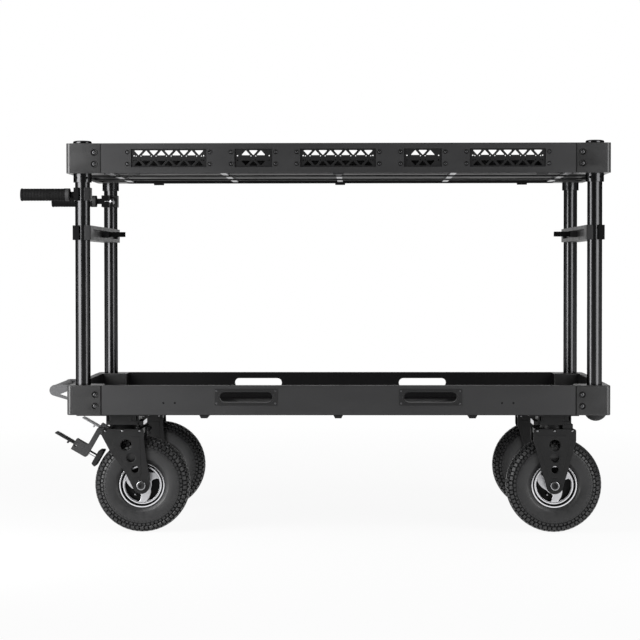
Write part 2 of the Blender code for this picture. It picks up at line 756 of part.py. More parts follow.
# Push handles
def clamp_outline(side):
    """Return the plan of a handle clamp, with the ear that carries the shaft."""
    left, edge, right = keyhole(LEFT, side, CLAMP_HALF, CLAMP_OUTER)
    x = LEFT * POST_X
    back = side * (POST_Y - CLAMP_OUTER)
    ear = side * (POST_Y - CLAMP_EAR)
    tips = [(u, v, 0) for u, v in edge]
    turn = (CLAMP_HALF - CLAMP_SLOT / 2) * CLAMP_ROUNDNESS
    corners = [(*left, turn), *tips, (*right, turn), (x + CLAMP_HALF, back, CLAMP_CORNER),
               (x + CLAMP_EAR_END, back, 0), (x + CLAMP_EAR_END, ear, CLAMP_CORNER),
               (x - CLAMP_HALF, ear, CLAMP_CORNER)]
    return rounded(corners, 2)


def make_handle(side):
    """Make one push handle: split clamp, shaft with its nut, and grip."""
    name = SIDE_NAMES[side]
    pivot = (LEFT * POST_X, side * POST_Y, HANDLE_Z)
    shaft_y = side * (POST_Y - SHAFT_OFFSET)
    body = prism(clamp_outline(side), HANDLE_Z - CLAMP_HEIGHT / 2, HANDLE_Z + CLAMP_HEIGHT / 2, "Z")
    outer = -HANDLE_REACH
    root = outer + GRIP_LENGTH
    nut = -POST_X + CLAMP_EAR_END - JOIN
    rod = [(SHAFT_RADIUS, outer + GRIP_BORE_STOP + GAP), (SHAFT_RADIUS, nut), (NUT_RADIUS, nut),
           (NUT_RADIUS, nut + JOIN + NUT_LENGTH)]
    shaft = turned(rod, "X", shaft_y, HANDLE_Z, 12)
    node(f"handle_clamp_{name}", POWDER_BLACK, joined(body, [shaft]), pivot)
    bore = SHAFT_RADIUS + GAP
    grip = [(GRIP_RADIUS - GRIP_END, outer), (GRIP_RADIUS, outer + GRIP_END),
            (GRIP_RADIUS, outer + GRIP_BAND), (GRIP_WAIST, outer + GRIP_BAND + GRIP_STEP),
            (GRIP_WAIST, root - GRIP_RING - GRIP_STEP), (GRIP_RADIUS, root - GRIP_RING),
            (GRIP_RADIUS, root), (bore, root), (bore, outer + GRIP_BORE_STOP)]
    node(f"handle_grip_{name}", RUBBER, turned(grip, "X", shaft_y, HANDLE_Z, 16), pivot)


# Crossbars
def crossbar_outline(end):
    """Return the plan of a crossbar, a bar with a split clamp at both posts."""
    left, edge, right = keyhole(end, FRONT, CROSSBAR_HALF, CROSSBAR_OUTER)
    front = [(*left, CLAMP_CORNER), *[(u, v, 0) for u, v in edge], (*right, CLAMP_CORNER)]
    back = [(u, -v, radius) for u, v, radius in reversed(front)]
    return rounded(front + back, 2)


def make_crossbar(end):
    """Make the crossbar of one end, with the hook on its inner side."""
    name = END_NAMES[end]
    low = CROSSBAR_Z - CROSSBAR_HEIGHT / 2
    high = CROSSBAR_Z + CROSSBAR_HEIGHT / 2
    pivot = (end * POST_X, 0.0, CROSSBAR_Z)
    inner = end * (POST_X - CROSSBAR_HALF)
    deep = inner + end * CHANNEL_DEPTH
    stop = POST_Y - CHANNEL_STOP
    clear = inner - end * CHANNEL_DEPTH
    channel = box(min(clear, deep), max(clear, deep), -stop, stop,
                  CROSSBAR_Z - CHANNEL_HEIGHT / 2, CROSSBAR_Z + CHANNEL_HEIGHT / 2)
    bar = cut(prism(crossbar_outline(end), low, high, "Z"), [channel])
    base_z = HOOK_BASE_HEIGHT / 2
    seat = deep + end * JOIN
    base = box(min(seat, inner - end * HOOK_BASE), max(seat, inner - end * HOOK_BASE),
               -HOOK_HALF_WIDTH, HOOK_HALF_WIDTH, CROSSBAR_Z - base_z, CROSSBAR_Z + base_z)
    tip = inner - end * HOOK_REACH
    root = inner - end * HOOK_BASE / 2
    rod = HOOK_ROD
    half = HOOK_HALF_WIDTH - GAP
    turn = HOOK_HALF_WIDTH * HOOK_ROUNDNESS
    loop = rounded([(root, -half, 0), (tip, -half, turn), (tip, half, turn), (root, half, 0)], 5)
    eye_half = HOOK_HALF_WIDTH - rod
    eye_turn = eye_half * HOOK_ROUNDNESS
    eye_root = inner - end * (HOOK_BASE + GAP)
    eye_tip = tip + end * rod
    eye = rounded([(eye_root, -eye_half, 0), (eye_tip, -eye_half, eye_turn),
                   (eye_tip, eye_half, eye_turn), (eye_root, eye_half, 0)], 5)
    ring = prism(loop, CROSSBAR_Z - HOOK_HEIGHT / 2, CROSSBAR_Z + HOOK_HEIGHT / 2, "Z", [eye])
    node(f"crossbar_{name}", POWDER_BLACK, joined(bar, [base, ring]), pivot)


# Casters
def trail(end):
    """Return how far a caster's axle lies behind its kingpin: nothing on the rigid ones."""
    return TRAIL if end == LEFT else 0.0


def bracket(end, side):
    """Return a caster's top bracket with its mounting plate."""
    x = end * CASTER_X
    y = side * CASTER_Y
    reach = PLATE_REACH_SWIVEL if end == LEFT else PLATE_REACH_RIGID
    outer = x + end * reach
    inner = x - end * PLATE_INNER_REACH
    plate_bottom = LOWER_RAIL_BOTTOM - GAP - PLATE_THICKNESS
    plate = box(min(outer, inner), max(outer, inner), y - PLATE_HALF_WIDTH, y + PLATE_HALF_WIDTH,
                plate_bottom, plate_bottom + PLATE_THICKNESS)
    top = plate_bottom + PLATE_THICKNESS / 2
    outline = rounded([(x - BRACKET_HALF, BRACKET_BOTTOM, 0), (x + BRACKET_HALF, BRACKET_BOTTOM, 0),
                       (x + BRACKET_HALF, top, BRACKET_CORNER), (x - BRACKET_HALF, top, BRACKET_CORNER)])
    body = prism(outline, y - BRACKET_HALF_WIDTH, y + BRACKET_HALF_WIDTH, "Y")
    return joined(plate, [body])


def make_swivel_bracket(side):
    """Make the bracket of a swivel caster, bored for the kingpin."""
    top = BRACKET_BOTTOM + KINGPIN_LENGTH + RUNNING_GAP
    bore = cylinder(KINGPIN_RADIUS + RUNNING_GAP, BRACKET_BOTTOM - KINGPIN_LENGTH, top, "Z",
                    -CASTER_X, side * CASTER_Y, POST_SIDES)
    node(f"caster_bracket_{corner_name(LEFT, side)}", POWDER_BLACK, cut(bracket(LEFT, side), [bore]))


def fork_edge(shares, near_x, far_x):
    """Return points between a plate's top corner and its boss, from shares across and down."""
    return [(near_x + (far_x - near_x) * across, FORK_TOP * (1 - down)) for across, down in shares]


def fork_outline(end):
    """Return the side plate of a fork, from the kingpin in X and from the axle in Z."""
    behind = trail(end)
    boss_low = behind - FORK_BOSS
    boss_high = behind + FORK_BOSS
    if end == LEFT:
        ahead = fork_edge(FORK_LEADING, -FORK_HALF_LENGTH, boss_low)
        rear = fork_edge(FORK_TRAILING, FORK_HALF_LENGTH, boss_high)
    else:
        ahead = fork_edge(FORK_RIGID, -FORK_HALF_LENGTH, boss_low)
        rear = fork_edge(FORK_RIGID, FORK_HALF_LENGTH, boss_high)
    first = tangent_angle(ahead[-1], (behind, 0.0), FORK_BOSS, 1)
    last = tangent_angle(rear[0], (behind, 0.0), FORK_BOSS, -1) + 2 * math.pi
    while last - first > 2 * math.pi:
        last -= 2 * math.pi
    arc = []
    for step in range(BOSS_STEPS + 1):
        angle = first + (last - first) * step / BOSS_STEPS
        arc.append((behind + FORK_BOSS * math.cos(angle), FORK_BOSS * math.sin(angle), 0))
    sides = [[(u, v, 0) for u, v in edge] for edge in (ahead, rear)]
    return rounded([(-FORK_HALF_LENGTH, FORK_TOP, FORK_CORNER), *sides[0], *arc, *sides[1],
                    (FORK_HALF_LENGTH, FORK_TOP, FORK_CORNER)], 2)


def fork_holes(end):
    """Return the three lightening holes and the axle hole of a side plate."""
    holes = [circle(trail(end), 0.0, AXLE_RADIUS + GAP, HUB_SIDES)]
    for (across, down), radius in zip(FORK_HOLE_PLACES, FORK_HOLE_RADII):
        holes.append(circle(trail(end) * across, FORK_TOP * (1 - down), radius, HUB_SIDES))
    return holes


def make_fork(end, side):
    """Make one fork: two side plates screwed to a crown, with the race and kingpin on top."""
    x = end * CASTER_X
    y = side * CASTER_Y
    outline = [(x + u, AXLE_Z + v) for u, v in fork_outline(end)]
    holes = [prism([(x + u, AXLE_Z + v) for u, v in hole], y - 2 * FORK_HALF, y + 2 * FORK_HALF, "Y")
             for hole in fork_holes(end)]
    plates = []
    heads = []
    for face in (-1, 1):
        outer = y + face * FORK_HALF
        plates.append(prism(outline, outer - face * FORK_PLATE, outer, "Y"))
        for spread in (-1, 0, 1):
            heads.append(screw_head(x + spread * FORK_SCREW_SPREAD, AXLE_Z + FORK_SCREW_Z, outer, face))
    half = FORK_HALF - FORK_PLATE / 2
    crown_top = FORK_TOP_Z - GAP
    crown = box(x - CROWN_HALF_LENGTH, x + CROWN_HALF_LENGTH, y - half, y + half,
                crown_top - CROWN_THICKNESS, crown_top)
    inside = crown_top - CROWN_THICKNESS / 2
    if end == LEFT:
        race = cylinder(RACE_RADIUS, inside, BRACKET_BOTTOM - GAP, "Z", x, y, POST_SIDES)
        pin = cylinder(KINGPIN_RADIUS, inside, BRACKET_BOTTOM + KINGPIN_LENGTH, "Z", x, y, POST_SIDES)
        upper = [race, pin]
    else:
        race = cylinder(RACE_RADIUS, inside, BRACKET_BOTTOM + JOIN, "Z", x, y, POST_SIDES)
        upper = [race, bracket(end, side)]
    fork = cut(joined(crown, [*plates, *heads, *upper]), holes)
    node(f"caster_fork_{corner_name(end, side)}", POWDER_BLACK, fork, (x, y, FORK_TOP_Z))


def axle_solid(end, side):
    """Return one axle bolt with a head outside each side plate."""
    x = end * CASTER_X + trail(end)
    y = side * CASTER_Y
    seat = FORK_HALF + GAP
    tip = seat + AXLE_HEAD
    profile = [(AXLE_HEAD_RADIUS, y - tip), (AXLE_HEAD_RADIUS, y - seat), (AXLE_RADIUS, y - seat),
               (AXLE_RADIUS, y + seat), (AXLE_HEAD_RADIUS, y + seat), (AXLE_HEAD_RADIUS, y + tip)]
    return turned(profile, "Y", x, AXLE_Z, HUB_SIDES)


def spoke_window(x, index, side):
    """Return one kidney-shaped opening between two spokes of a rim."""
    base = SPOKE_PHASE + index * 360 / SPOKES
    hub_half = SPOKE_OPENING * SPOKE_HUB_SHARE / 2
    rim_half = SPOKE_OPENING / 2
    steps = [2 * step / SPOKE_ARC_STEPS - 1 for step in range(SPOKE_ARC_STEPS + 1)]
    turns = [(HUB_RADIUS + SPOKE_HUB_EDGE, base + hub_half * step) for step in steps]
    turns += [(RIM_BARREL - SPOKE_EDGE, base + SPOKE_TWIST - rim_half * step) for step in steps]
    points = []
    for radius, degrees in turns:
        angle = math.radians(side * degrees)
        points.append((x + radius * math.cos(angle), AXLE_Z + radius * math.sin(angle)))
    return points


def make_wheel(end, side):
    """Make one wheel: a rim with curved spokes, and its tyre."""
    x = end * CASTER_X + trail(end)
    y = side * CASTER_Y
    bead = BEAD_RADIUS - GAP
    lip = bead - RIM_LIP
    inside = RIM_BARREL - JOIN
    wall = [(bead, y - RIM_HALF), (bead, y + RIM_HALF), (lip, y + RIM_HALF),
            (inside, y + DISC_FAR), (inside, y - DISC_FAR), (lip, y - RIM_HALF)]
    barrel = turned(wall, "Y", x, AXLE_Z, WHEEL_SIDES, True, 0.5)
    windows = [spoke_window(x, index, side) for index in range(SPOKES)]
    disc = prism(circle(x, AXLE_Z, RIM_BARREL + RIM_OVERLAP, WHEEL_SIDES, 0.5), y + side * DISC_NEAR,
                 y + side * DISC_FAR, "Y", windows)
    hub_half = FORK_HALF - FORK_PLATE - GAP
    hub = cylinder(HUB_RADIUS, y - hub_half, y + hub_half, "Y", x, AXLE_Z, HUB_SIDES)
    bore = cylinder(AXLE_RADIUS + RUNNING_GAP, y - FORK_HALF, y + FORK_HALF, "Y", x, AXLE_Z, HUB_SIDES)
    rim = cut(joined(barrel, [disc, hub]), [bore])
    name = corner_name(end, side)
    node(f"caster_rim_{name}", CHROME, rim, (x, y, AXLE_Z))
    tread = WHEEL_RADIUS / math.cos(math.pi / WHEEL_SIDES)
    half = [(BEAD_RADIUS, BEAD_HALF)]
    half += [(share * WHEEL_RADIUS, along) for share, along in TYRE_CURVE]
    half.append((tread, TREAD_HALF))
    profile = [(radius, y - along) for radius, along in half]
    profile += [(radius, y + along) for radius, along in reversed(half)]
    tyre = turned(profile, "Y", x, AXLE_Z, WHEEL_SIDES, True, 0.5)
    node(f"caster_tyre_{name}", RUBBER, tyre, (x, y, AXLE_Z))


# Brakes
def brake_point(out, rise):
    """Return the place of a brake point, given out from the axle and across the brake's line."""
    tilt = math.radians(BRAKE_TILT)
    x = -CASTER_X + TRAIL - out * math.cos(tilt) + rise * math.sin(tilt)
    z = AXLE_Z + out * math.sin(tilt) + rise * math.cos(tilt)
    return (x, z)


def brake_outline(corners):
    """Return an outline whose corners are given out and across the brake's line."""
    return [(*brake_point(out, rise), radius) for out, rise, radius in corners]


def brake_rod(radius, rise, low, high, y):
    """Return a rod that lies along the brake's line."""
    near = Vector((brake_point(low, rise)[0], y, brake_point(low, rise)[1]))
    far = Vector((brake_point(high, rise)[0], y, brake_point(high, rise)[1]))
    turn = Vector((0, 0, 1)).rotation_difference(far - near).to_matrix()
    rings = []
    for end in (near, far):
        rings.append([end + turn @ Vector((u, v, 0)) for u, v in circle(0, 0, radius, 8)])
    return loft(rings, False)


def make_brake_arm(side, y):
    """Make the arm that hangs from the crown and ends in the brake's housing."""
    tilt = math.radians(BRAKE_TILT)
    front = -CASTER_X - CROWN_HALF_LENGTH - GAP
    crown_low = FORK_TOP_Z - CROWN_THICKNESS

    def on_line(out, z):
        """Return the point at a height on the line at a distance out from the axle."""
        across = (out - (z - AXLE_Z) * math.sin(tilt)) / math.cos(tilt)
        return (-CASTER_X + TRAIL - across, z)

    arm_far = ARM_NEAR + ARM_WIDTH
    corners = [(front, FORK_TOP_Z, 0), (*on_line(arm_far, FORK_TOP_Z), ARM_CORNER)]
    corners += brake_outline([(arm_far, HOUSING_HIGH, HOUSING_CORNER), (HOUSING_FAR, HOUSING_HIGH, 0),
                              (HOUSING_FAR, HOUSING_LOW, 0), (ARM_NEAR, HOUSING_LOW, HOUSING_CORNER)])
    corners += [(*on_line(ARM_NEAR, crown_low), 0), (front, crown_low, 0)]
    arm = prism(rounded(corners), y - BRAKE_HALF_WIDTH, y + BRAKE_HALF_WIDTH, "Y")
    slot_near = PIVOT_OUT - TONGUE_RADIUS - 2 * RUNNING_GAP
    slot_far = 2 * HOUSING_FAR - slot_near
    slot = brake_outline([(slot_near, 2 * HOUSING_LOW, 0), (slot_far, 2 * HOUSING_LOW, 0),
                          (slot_far, 2 * HOUSING_HIGH, 0), (slot_near, 2 * HOUSING_HIGH, 0)])
    slot_half = TONGUE_HALF_WIDTH + RUNNING_GAP
    rod_end = ARM_NEAR + ROD_DEPTH + ROD_SPARE
    rod_start = PAD_NEAR + PAD_THICKNESS
    tools = [prism(rounded(slot), y - slot_half, y + slot_half, "Y"),
             cylinder(PIVOT_HOLE, y - FORK_HALF, y + FORK_HALF, "Y",
                      *brake_point(PIVOT_OUT, PIVOT_RISE), HUB_SIDES),
             brake_rod(ROD_RADIUS + RUNNING_GAP, ROD_RISE, rod_start, rod_end, y),
             brake_rod(GUIDE_RADIUS + RUNNING_GAP, GUIDE_RISE, rod_start, rod_end, y)]
    name = corner_name(LEFT, side)
    node(f"brake_arm_{name}", POWDER_BLACK, cut(arm, tools))


def make_brake_shoe(side, y):
    """Make the pad with the two rods that guide it in the housing."""
    far = PAD_NEAR + PAD_THICKNESS
    corners = [(PAD_NEAR, PAD_LOW, PAD_FACE_CORNER), (far, PAD_LOW + PAD_HEEL, PAD_BACK_CORNER),
               (far, PAD_HIGH - PAD_TOE, PAD_BACK_CORNER), (PAD_NEAR, PAD_HIGH, PAD_FACE_CORNER)]
    pad = prism(rounded(brake_outline(corners), 2), y - PAD_HALF_WIDTH, y + PAD_HALF_WIDTH, "Y")
    rods = [brake_rod(ROD_RADIUS, ROD_RISE, far - ROD_SINK, ARM_NEAR + ROD_DEPTH, y),
            brake_rod(GUIDE_RADIUS, GUIDE_RISE, far - ROD_SINK, ARM_NEAR + ROD_DEPTH, y)]
    node(f"brake_shoe_{corner_name(LEFT, side)}", RUBBER, joined(pad, rods))


def make_brake_pedal(side, y):
    """Make the foot pedal, whose tongue turns in the slot of the housing."""
    x, z = brake_point(PIVOT_OUT, PIVOT_RISE)
    high = PEDAL_RISE + PIVOT_RISE + PEDAL_THICKNESS
    low = high - PEDAL_THICKNESS
    far = PEDAL_NEAR + PEDAL_LENGTH
    edges = brake_outline([(PEDAL_NEAR, low, 0), (far, low, PEDAL_EDGE), (far, high, PEDAL_EDGE),
                           (PEDAL_NEAR, high, 0)])
    plate = prism(rounded(edges, 2), y - PEDAL_HALF_WIDTH, y + PEDAL_HALF_WIDTH, "Y")
    stub_out = PEDAL_NEAR + STUB_OUT
    stub_far = stub_out + STUB_WIDTH
    inside = (low + high) / 2
    stub = prism([brake_point(stub_out, low - STUB_DROP), brake_point(stub_far, low - STUB_DROP),
                  brake_point(stub_far, inside), brake_point(stub_out, inside)],
                 y - STUB_HALF_WIDTH, y + STUB_HALF_WIDTH, "Y")
    reach = PEDAL_NEAR + TONGUE_REACH
    tongue_edge = [brake_point(reach, PIVOT_RISE + TONGUE_RADIUS)]
    for step in range(TONGUE_STEPS + 1):
        angle = math.radians(90 + (TONGUE_END - 90) * step / TONGUE_STEPS)
        tongue_edge.append(brake_point(PIVOT_OUT + TONGUE_RADIUS * math.cos(angle),
                                       PIVOT_RISE + TONGUE_RADIUS * math.sin(angle)))
    tongue_edge.append(brake_point(reach, inside))
    tongue = prism(tongue_edge, y - TONGUE_HALF_WIDTH, y + TONGUE_HALF_WIDTH, "Y",
                   [circle(x, z, PIVOT_HOLE, HUB_SIDES)])
    pedal = joined(plate, [stub, tongue])
    node(f"brake_pedal_{corner_name(LEFT, side)}", POWDER_BLACK, pedal, (x, y, z))


def make_casters():
    """Make the casters at the four corners."""
    for end, side in CORNERS:
        make_fork(end, side)
        make_wheel(end, side)
        node(f"caster_axle_{corner_name(end, side)}", CHROME, axle_solid(end, side))
    for side in (FRONT, BACK):
        y = side * CASTER_Y
        make_swivel_bracket(side)
        make_brake_arm(side, y)
        make_brake_shoe(side, y)
        make_brake_pedal(side, y)


def main():
    """Build the cart in an empty scene."""
    for thing in list(bpy.data.objects):
        bpy.data.objects.remove(thing, do_unlink=True)
    cart = bpy.data.objects.new("cart", None)
    bpy.context.scene.collection.objects.link(cart)
    cart.location.x = TRAY_CENTRE_X
    make_upper_rails()
    make_lower_rails()
    make_corner_blocks()
    make_mesh_panels()
    make_shelf()
    make_tray()
    make_feet()
    make_bumper()
    make_posts()
    for side in (FRONT, BACK):
        make_handle(side)
    for end in (LEFT, RIGHT):
        make_crossbar(end)
    make_casters()


main()
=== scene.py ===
"""The looks of the cart workstation: detailed pieces, materials, light and camera.

Lengths are in metres. Shapes are written from the centre of the tray, as in the part's source, and
stand SHIFT further along X in the shared frame.
"""
import json
from math import acos, atan2, ceil, cos, hypot, pi, radians, sin, sqrt, tan, tau

import bmesh
import bpy
from mathutils import Matrix, Vector, geometry

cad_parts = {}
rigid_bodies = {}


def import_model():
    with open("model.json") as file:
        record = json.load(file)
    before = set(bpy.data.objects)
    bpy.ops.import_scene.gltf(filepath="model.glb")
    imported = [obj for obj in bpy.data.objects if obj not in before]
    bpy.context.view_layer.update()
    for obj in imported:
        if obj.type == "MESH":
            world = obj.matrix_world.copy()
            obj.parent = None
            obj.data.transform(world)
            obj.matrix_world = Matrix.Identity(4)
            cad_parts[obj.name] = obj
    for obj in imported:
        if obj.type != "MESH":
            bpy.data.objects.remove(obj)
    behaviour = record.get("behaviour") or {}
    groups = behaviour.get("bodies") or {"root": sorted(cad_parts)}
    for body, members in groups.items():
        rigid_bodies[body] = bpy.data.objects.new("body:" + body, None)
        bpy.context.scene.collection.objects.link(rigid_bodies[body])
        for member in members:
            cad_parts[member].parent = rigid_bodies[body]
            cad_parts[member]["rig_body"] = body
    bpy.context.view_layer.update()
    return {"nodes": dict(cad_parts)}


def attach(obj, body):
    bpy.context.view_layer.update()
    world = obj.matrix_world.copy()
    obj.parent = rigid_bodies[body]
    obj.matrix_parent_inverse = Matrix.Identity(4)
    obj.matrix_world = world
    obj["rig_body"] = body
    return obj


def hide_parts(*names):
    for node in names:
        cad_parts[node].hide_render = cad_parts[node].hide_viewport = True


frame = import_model()

SHIFT = 0.0625
HALF_LENGTH = 0.6885
HALF_WIDTH = 0.3555
RAIL_DEPTH = 0.020
RAIL_HEIGHT = 0.0755
BLOCK_SIZE = 0.0865
LOWER_RAIL_Z = 0.304
UPPER_RAIL_Z = 0.917
POST_X = 0.651
POST_Y = 0.318
POST_RADIUS = 0.019
WINDOW_Z = 0.95505
WINDOWS = [(-0.428, 4), (-0.214, 1), (0.0, 4), (0.214, 1), (0.428, 4)]
HALF_WINDOW = {4: 0.0957, 1: 0.04775}
MESH_PITCH = 0.01915
SLOT_X = 0.2335
SLOT_Z = 0.34975
HANDLE_Z = 0.865
CASTER_X = 0.5505
CASTER_Y = 0.278
AXLE_Z = 0.1225
TRAIL = {-1: 0.0477, 1: 0.0}
FORK_TOP = 0.1445
FORK_CORNER = 0.054
FORK_HALF = 0.050
BOSS_RADIUS = 0.0215
FORK_HOLES = ((0.2, 0.286, 0.0142), (0.46, 0.51, 0.0112), (0.68, 0.715, 0.0091))
FORK_PANELS = {
    -1: [(-0.0335, 0.120, 0.012), (0.0445, 0.126, 0.004), (0.0480, 0.0340, 0.016),
         (0.0435, 0.0185, 0.012), (0.0270, 0.0190, 0.010)],
    1: [(-0.0490, 0.128, 0.004), (0.0370, 0.128, 0.009), (0.0400, 0.116, 0.009),
        (0.0170, 0.0265, 0.010), (0.0060, 0.0185, 0.008), (-0.0100, 0.0185, 0.008),
        (-0.0180, 0.0300, 0.010)]}
CROWN_TOP = AXLE_Z + 0.1442
RACE_TOP = 0.2767
TRAY_BOTTOM = 0.3037
TREAD_REPEATS = 58
TREAD_START = 0.0965
BRAKE_TILT = radians(30)
PEDAL_START = 0.2060
HEAD_SHARES = [(1.12, 0.0), (1.12, 0.12), (1.0, 0.14), (1.0, 0.85), (0.86, 1.0), (0.0, 1.0)]
SEAT_SHARES = [(0.0, 0.02), (0.60, 0.02), (0.84, 0.92), (0.92, 1.0), (0.98, 0.7), (1.0, 0.0)]
ENDS = {-1: "left", 1: "right"}
SIDES = {-1: "front", 1: "back"}
CORNERS = [(end, side, f"{SIDES[side]}_{ENDS[end]}") for end in ENDS for side in SIDES]


# Outlines and shapes. A shape is a list of points and a list of faces.
def on_axis(axis, u, v, along):
    """Return the point at (u, v) across an axis and a distance along it."""
    return {"X": (along, u, v), "Y": (u, along, v), "Z": (u, v, along)}[axis]


def about(middle, half):
    """Return the ends of a length about its middle."""
    return middle - half, middle + half


def layer(way, face, inside, outside):
    """Return the rising levels of a layer about a face that looks one way."""
    return sorted((face - way * inside, face + way * outside))


def shifted(outline, u, v):
    """Return an outline or a profile moved by (u, v)."""
    return [(a + u, b + v) for a, b in outline]


def facing_side(profile, side):
    """Return a profile turned to face a side."""
    return [(radius, side * along) for radius, along in profile]


def circle(u, v, radius, sides):
    """Return a regular outline about (u, v)."""
    angles = [tau * step / sides for step in range(sides)]
    return [(u + radius * cos(a), v + radius * sin(a)) for a in angles]


def rounded(corners, steps=5):
    """Return an outline whose corners (u, v, radius) are rounded where a radius is given."""
    outline = []
    for index, (u, v, radius) in enumerate(corners):
        if not radius:
            outline.append((u, v))
            continue
        here = Vector((u, v))
        before = (Vector(corners[index - 1][:2]) - here).normalized()
        after = (Vector(corners[(index + 1) % len(corners)][:2]) - here).normalized()
        half_angle = before.angle(after) / 2
        centre = here + (before + after).normalized() * (radius / sin(half_angle))
        start = here + before * (radius / tan(half_angle)) - centre
        end = here + after * (radius / tan(half_angle)) - centre
        for step in range(steps + 1):
            point = centre + start.slerp(end, step / steps) * radius
            outline.append((point.x, point.y))
    return outline


def rounded_box(us, vs, radius, steps=4):
    """Return a rectangle with rounded corners, from its two ends each way."""
    corners = [(us[0], vs[0]), (us[1], vs[0]), (us[1], vs[1]), (us[0], vs[1])]
    return rounded([(u, v, radius) for u, v in corners], steps)


def inset(loop, amount):
    """Return a loop moved inwards by an amount, or outwards by a negative one."""
    area = sum(a[0] * b[1] - b[0] * a[1] for a, b in zip(loop, [*loop[1:], loop[0]]))
    turn = amount if area > 0 else -amount
    result = []
    for index, (u, v) in enumerate(loop):
        before = (Vector((u, v)) - Vector(loop[index - 1])).normalized()
        after = (Vector(loop[(index + 1) % len(loop)]) - Vector((u, v))).normalized()
        one = Vector((-before.y, before.x))
        other = Vector((-after.y, after.x))
        mitre = (one + other) / max(1 + one.dot(other), 0.4)
        result.append((u + mitre.x * turn, v + mitre.y * turn))
    return result


def ring_faces(start, count, rise):
    """Return the faces from a ring of points to its like, which starts a rise further on."""
    faces = []
    for index in range(count):
        a = start + index
        b = start + (index + 1) % count
        faces.append((a, b, b + rise, a + rise))
    return faces


def prism(outline, levels, axis, holes=(), edge=0.0, steps=2):
    """Return the solid of an outline with holes between two levels, its edges rounded."""
    low, high = levels
    rings = [(0.0, low)]
    if edge:
        turns = [pi / 2 * step / steps for step in range(steps + 1)]
        rings = [(edge * (1 - sin(a)), low + edge * (1 - cos(a))) for a in turns]
    rings += [(amount, low + high - along) for amount, along in reversed(rings)]
    loops = [outline, *holes]
    count = sum(len(loop) for loop in loops)
    points = []
    caps = [] if holes else [range(count)]
    for amount, along in rings:
        turned = [inset(loop, amount if loop is outline else -amount) for loop in loops]
        points += [on_axis(axis, u, v, along) for loop in turned for u, v in loop]
        if not caps:
            flat = [[Vector((u, v, 0)) for u, v in loop] for loop in turned]
            caps = geometry.tessellate_polygon(flat)
    last = count * (len(rings) - 1)
    faces = [tuple(face) for face in caps]
    faces += [tuple(index + last for index in face) for face in caps]
    for level in range(len(rings) - 1):
        start = level * count
        for loop in loops:
            faces += ring_faces(start, len(loop), count)
            start += len(loop)
    return points, faces


def slab(axis, us, vs, levels, radius, edge=0.0, steps=4):
    """Return a box with rounded corners across an axis, between two levels along it."""
    return prism(rounded_box(us, vs, radius, steps), levels, axis, edge=edge)


def lathe(profile, axis, u, v, sides=40, closed=False):
    """Return the solid of a profile of (radius, distance) turned about an axis through (u, v)."""
    points = []
    for radius, along in profile:
        ring = circle(u, v, max(radius, 1e-5), sides)
        points += [on_axis(axis, *point, along) for point in ring]
    faces = []
    for row in range(len(profile) if closed else len(profile) - 1):
        following = (row + 1) % len(profile)
        faces += ring_faces(row * sides, sides, (following - row) * sides)
    if not closed:
        faces.append(tuple(range(sides)))
        faces.append(tuple(range(len(points) - sides, len(points))))
    return points, faces


def stood(shape, place, normal):
    """Return a shape stood at a place, its +Z turned to a normal."""
    turn = Vector((0, 0, 1)).rotation_difference(Vector(normal)).to_matrix().to_4x4()
    matrix = Matrix.Translation(place) @ turn
    return [tuple(matrix @ Vector(point)) for point in shape[0]], shape[1]


def screw(place, normal, radius, height, recess=0.5, sides=18):
    """Return a domed screw with a hexagon socket that stands on a face."""
    rings = [(1, 0, 1), (1, 0.45, 1), (0.9, 0.85, 1), (0.72, 1, 1), (recess, 1, 0),
             (recess, 0.3, 0)]
    sixth = pi / 6
    points = []
    for size, up, is_round in rings:
        for index in range(sides):
            angle = tau * index / sides
            wide = size * radius
            if not is_round:
                wide *= cos(sixth) / cos((angle + sixth) % (2 * sixth) - sixth)
            points.append((wide * cos(angle), wide * sin(angle), up * height))
    faces = []
    for row in range(len(rings) - 1):
        faces += ring_faces(row * sides, sides, sides)
    faces.append(tuple(range((len(rings) - 1) * sides, len(rings) * sides)))
    return stood((points, faces), place, normal)


def turned_head(shares, place, normal, radius, height, sides):
    """Return a shape turned from shares of a radius and a height, stood on a face."""
    profile = [(radius * r, height * h) for r, h in shares]
    return stood(lathe(profile, "Z", 0, 0, sides), place, normal)


# Materials
def node(tree, kind, inputs, operation=None):
    """Add a shader node, each input set to a value or linked to another node's output."""
    made = tree.nodes.new(f"ShaderNode{kind}")
    if operation:
        made.operation = operation
    for name, value in inputs.items():
        if isinstance(value, bpy.types.NodeSocket):
            tree.links.new(value, made.inputs[name])
        else:
            made.inputs[name].default_value = value
    return made


def maths(tree, operation, *values):
    """Return the outcome of an operation on one or two values."""
    return node(tree, "Math", dict(enumerate(values)), operation).outputs["Value"]


def spread(tree, value, low, high, new_low, new_high):
    """Return a value taken from one range to another."""
    inputs = {"Value": value, "From Min": low, "From Max": high, "To Min": new_low,
              "To Max": new_high}
    return node(tree, "MapRange", inputs).outputs["Result"]


def length(tree, vector):
    """Return the length of a vector."""
    return node(tree, "VectorMath", {0: vector}, "LENGTH").outputs["Value"]


def split(tree, vector):
    """Return the parts of a vector."""
    return node(tree, "SeparateXYZ", {"Vector": vector}).outputs


def grey(value):
    """Return a neutral opaque colour with a trace of blue."""
    return (value, value, value * 1.03, 1.0)


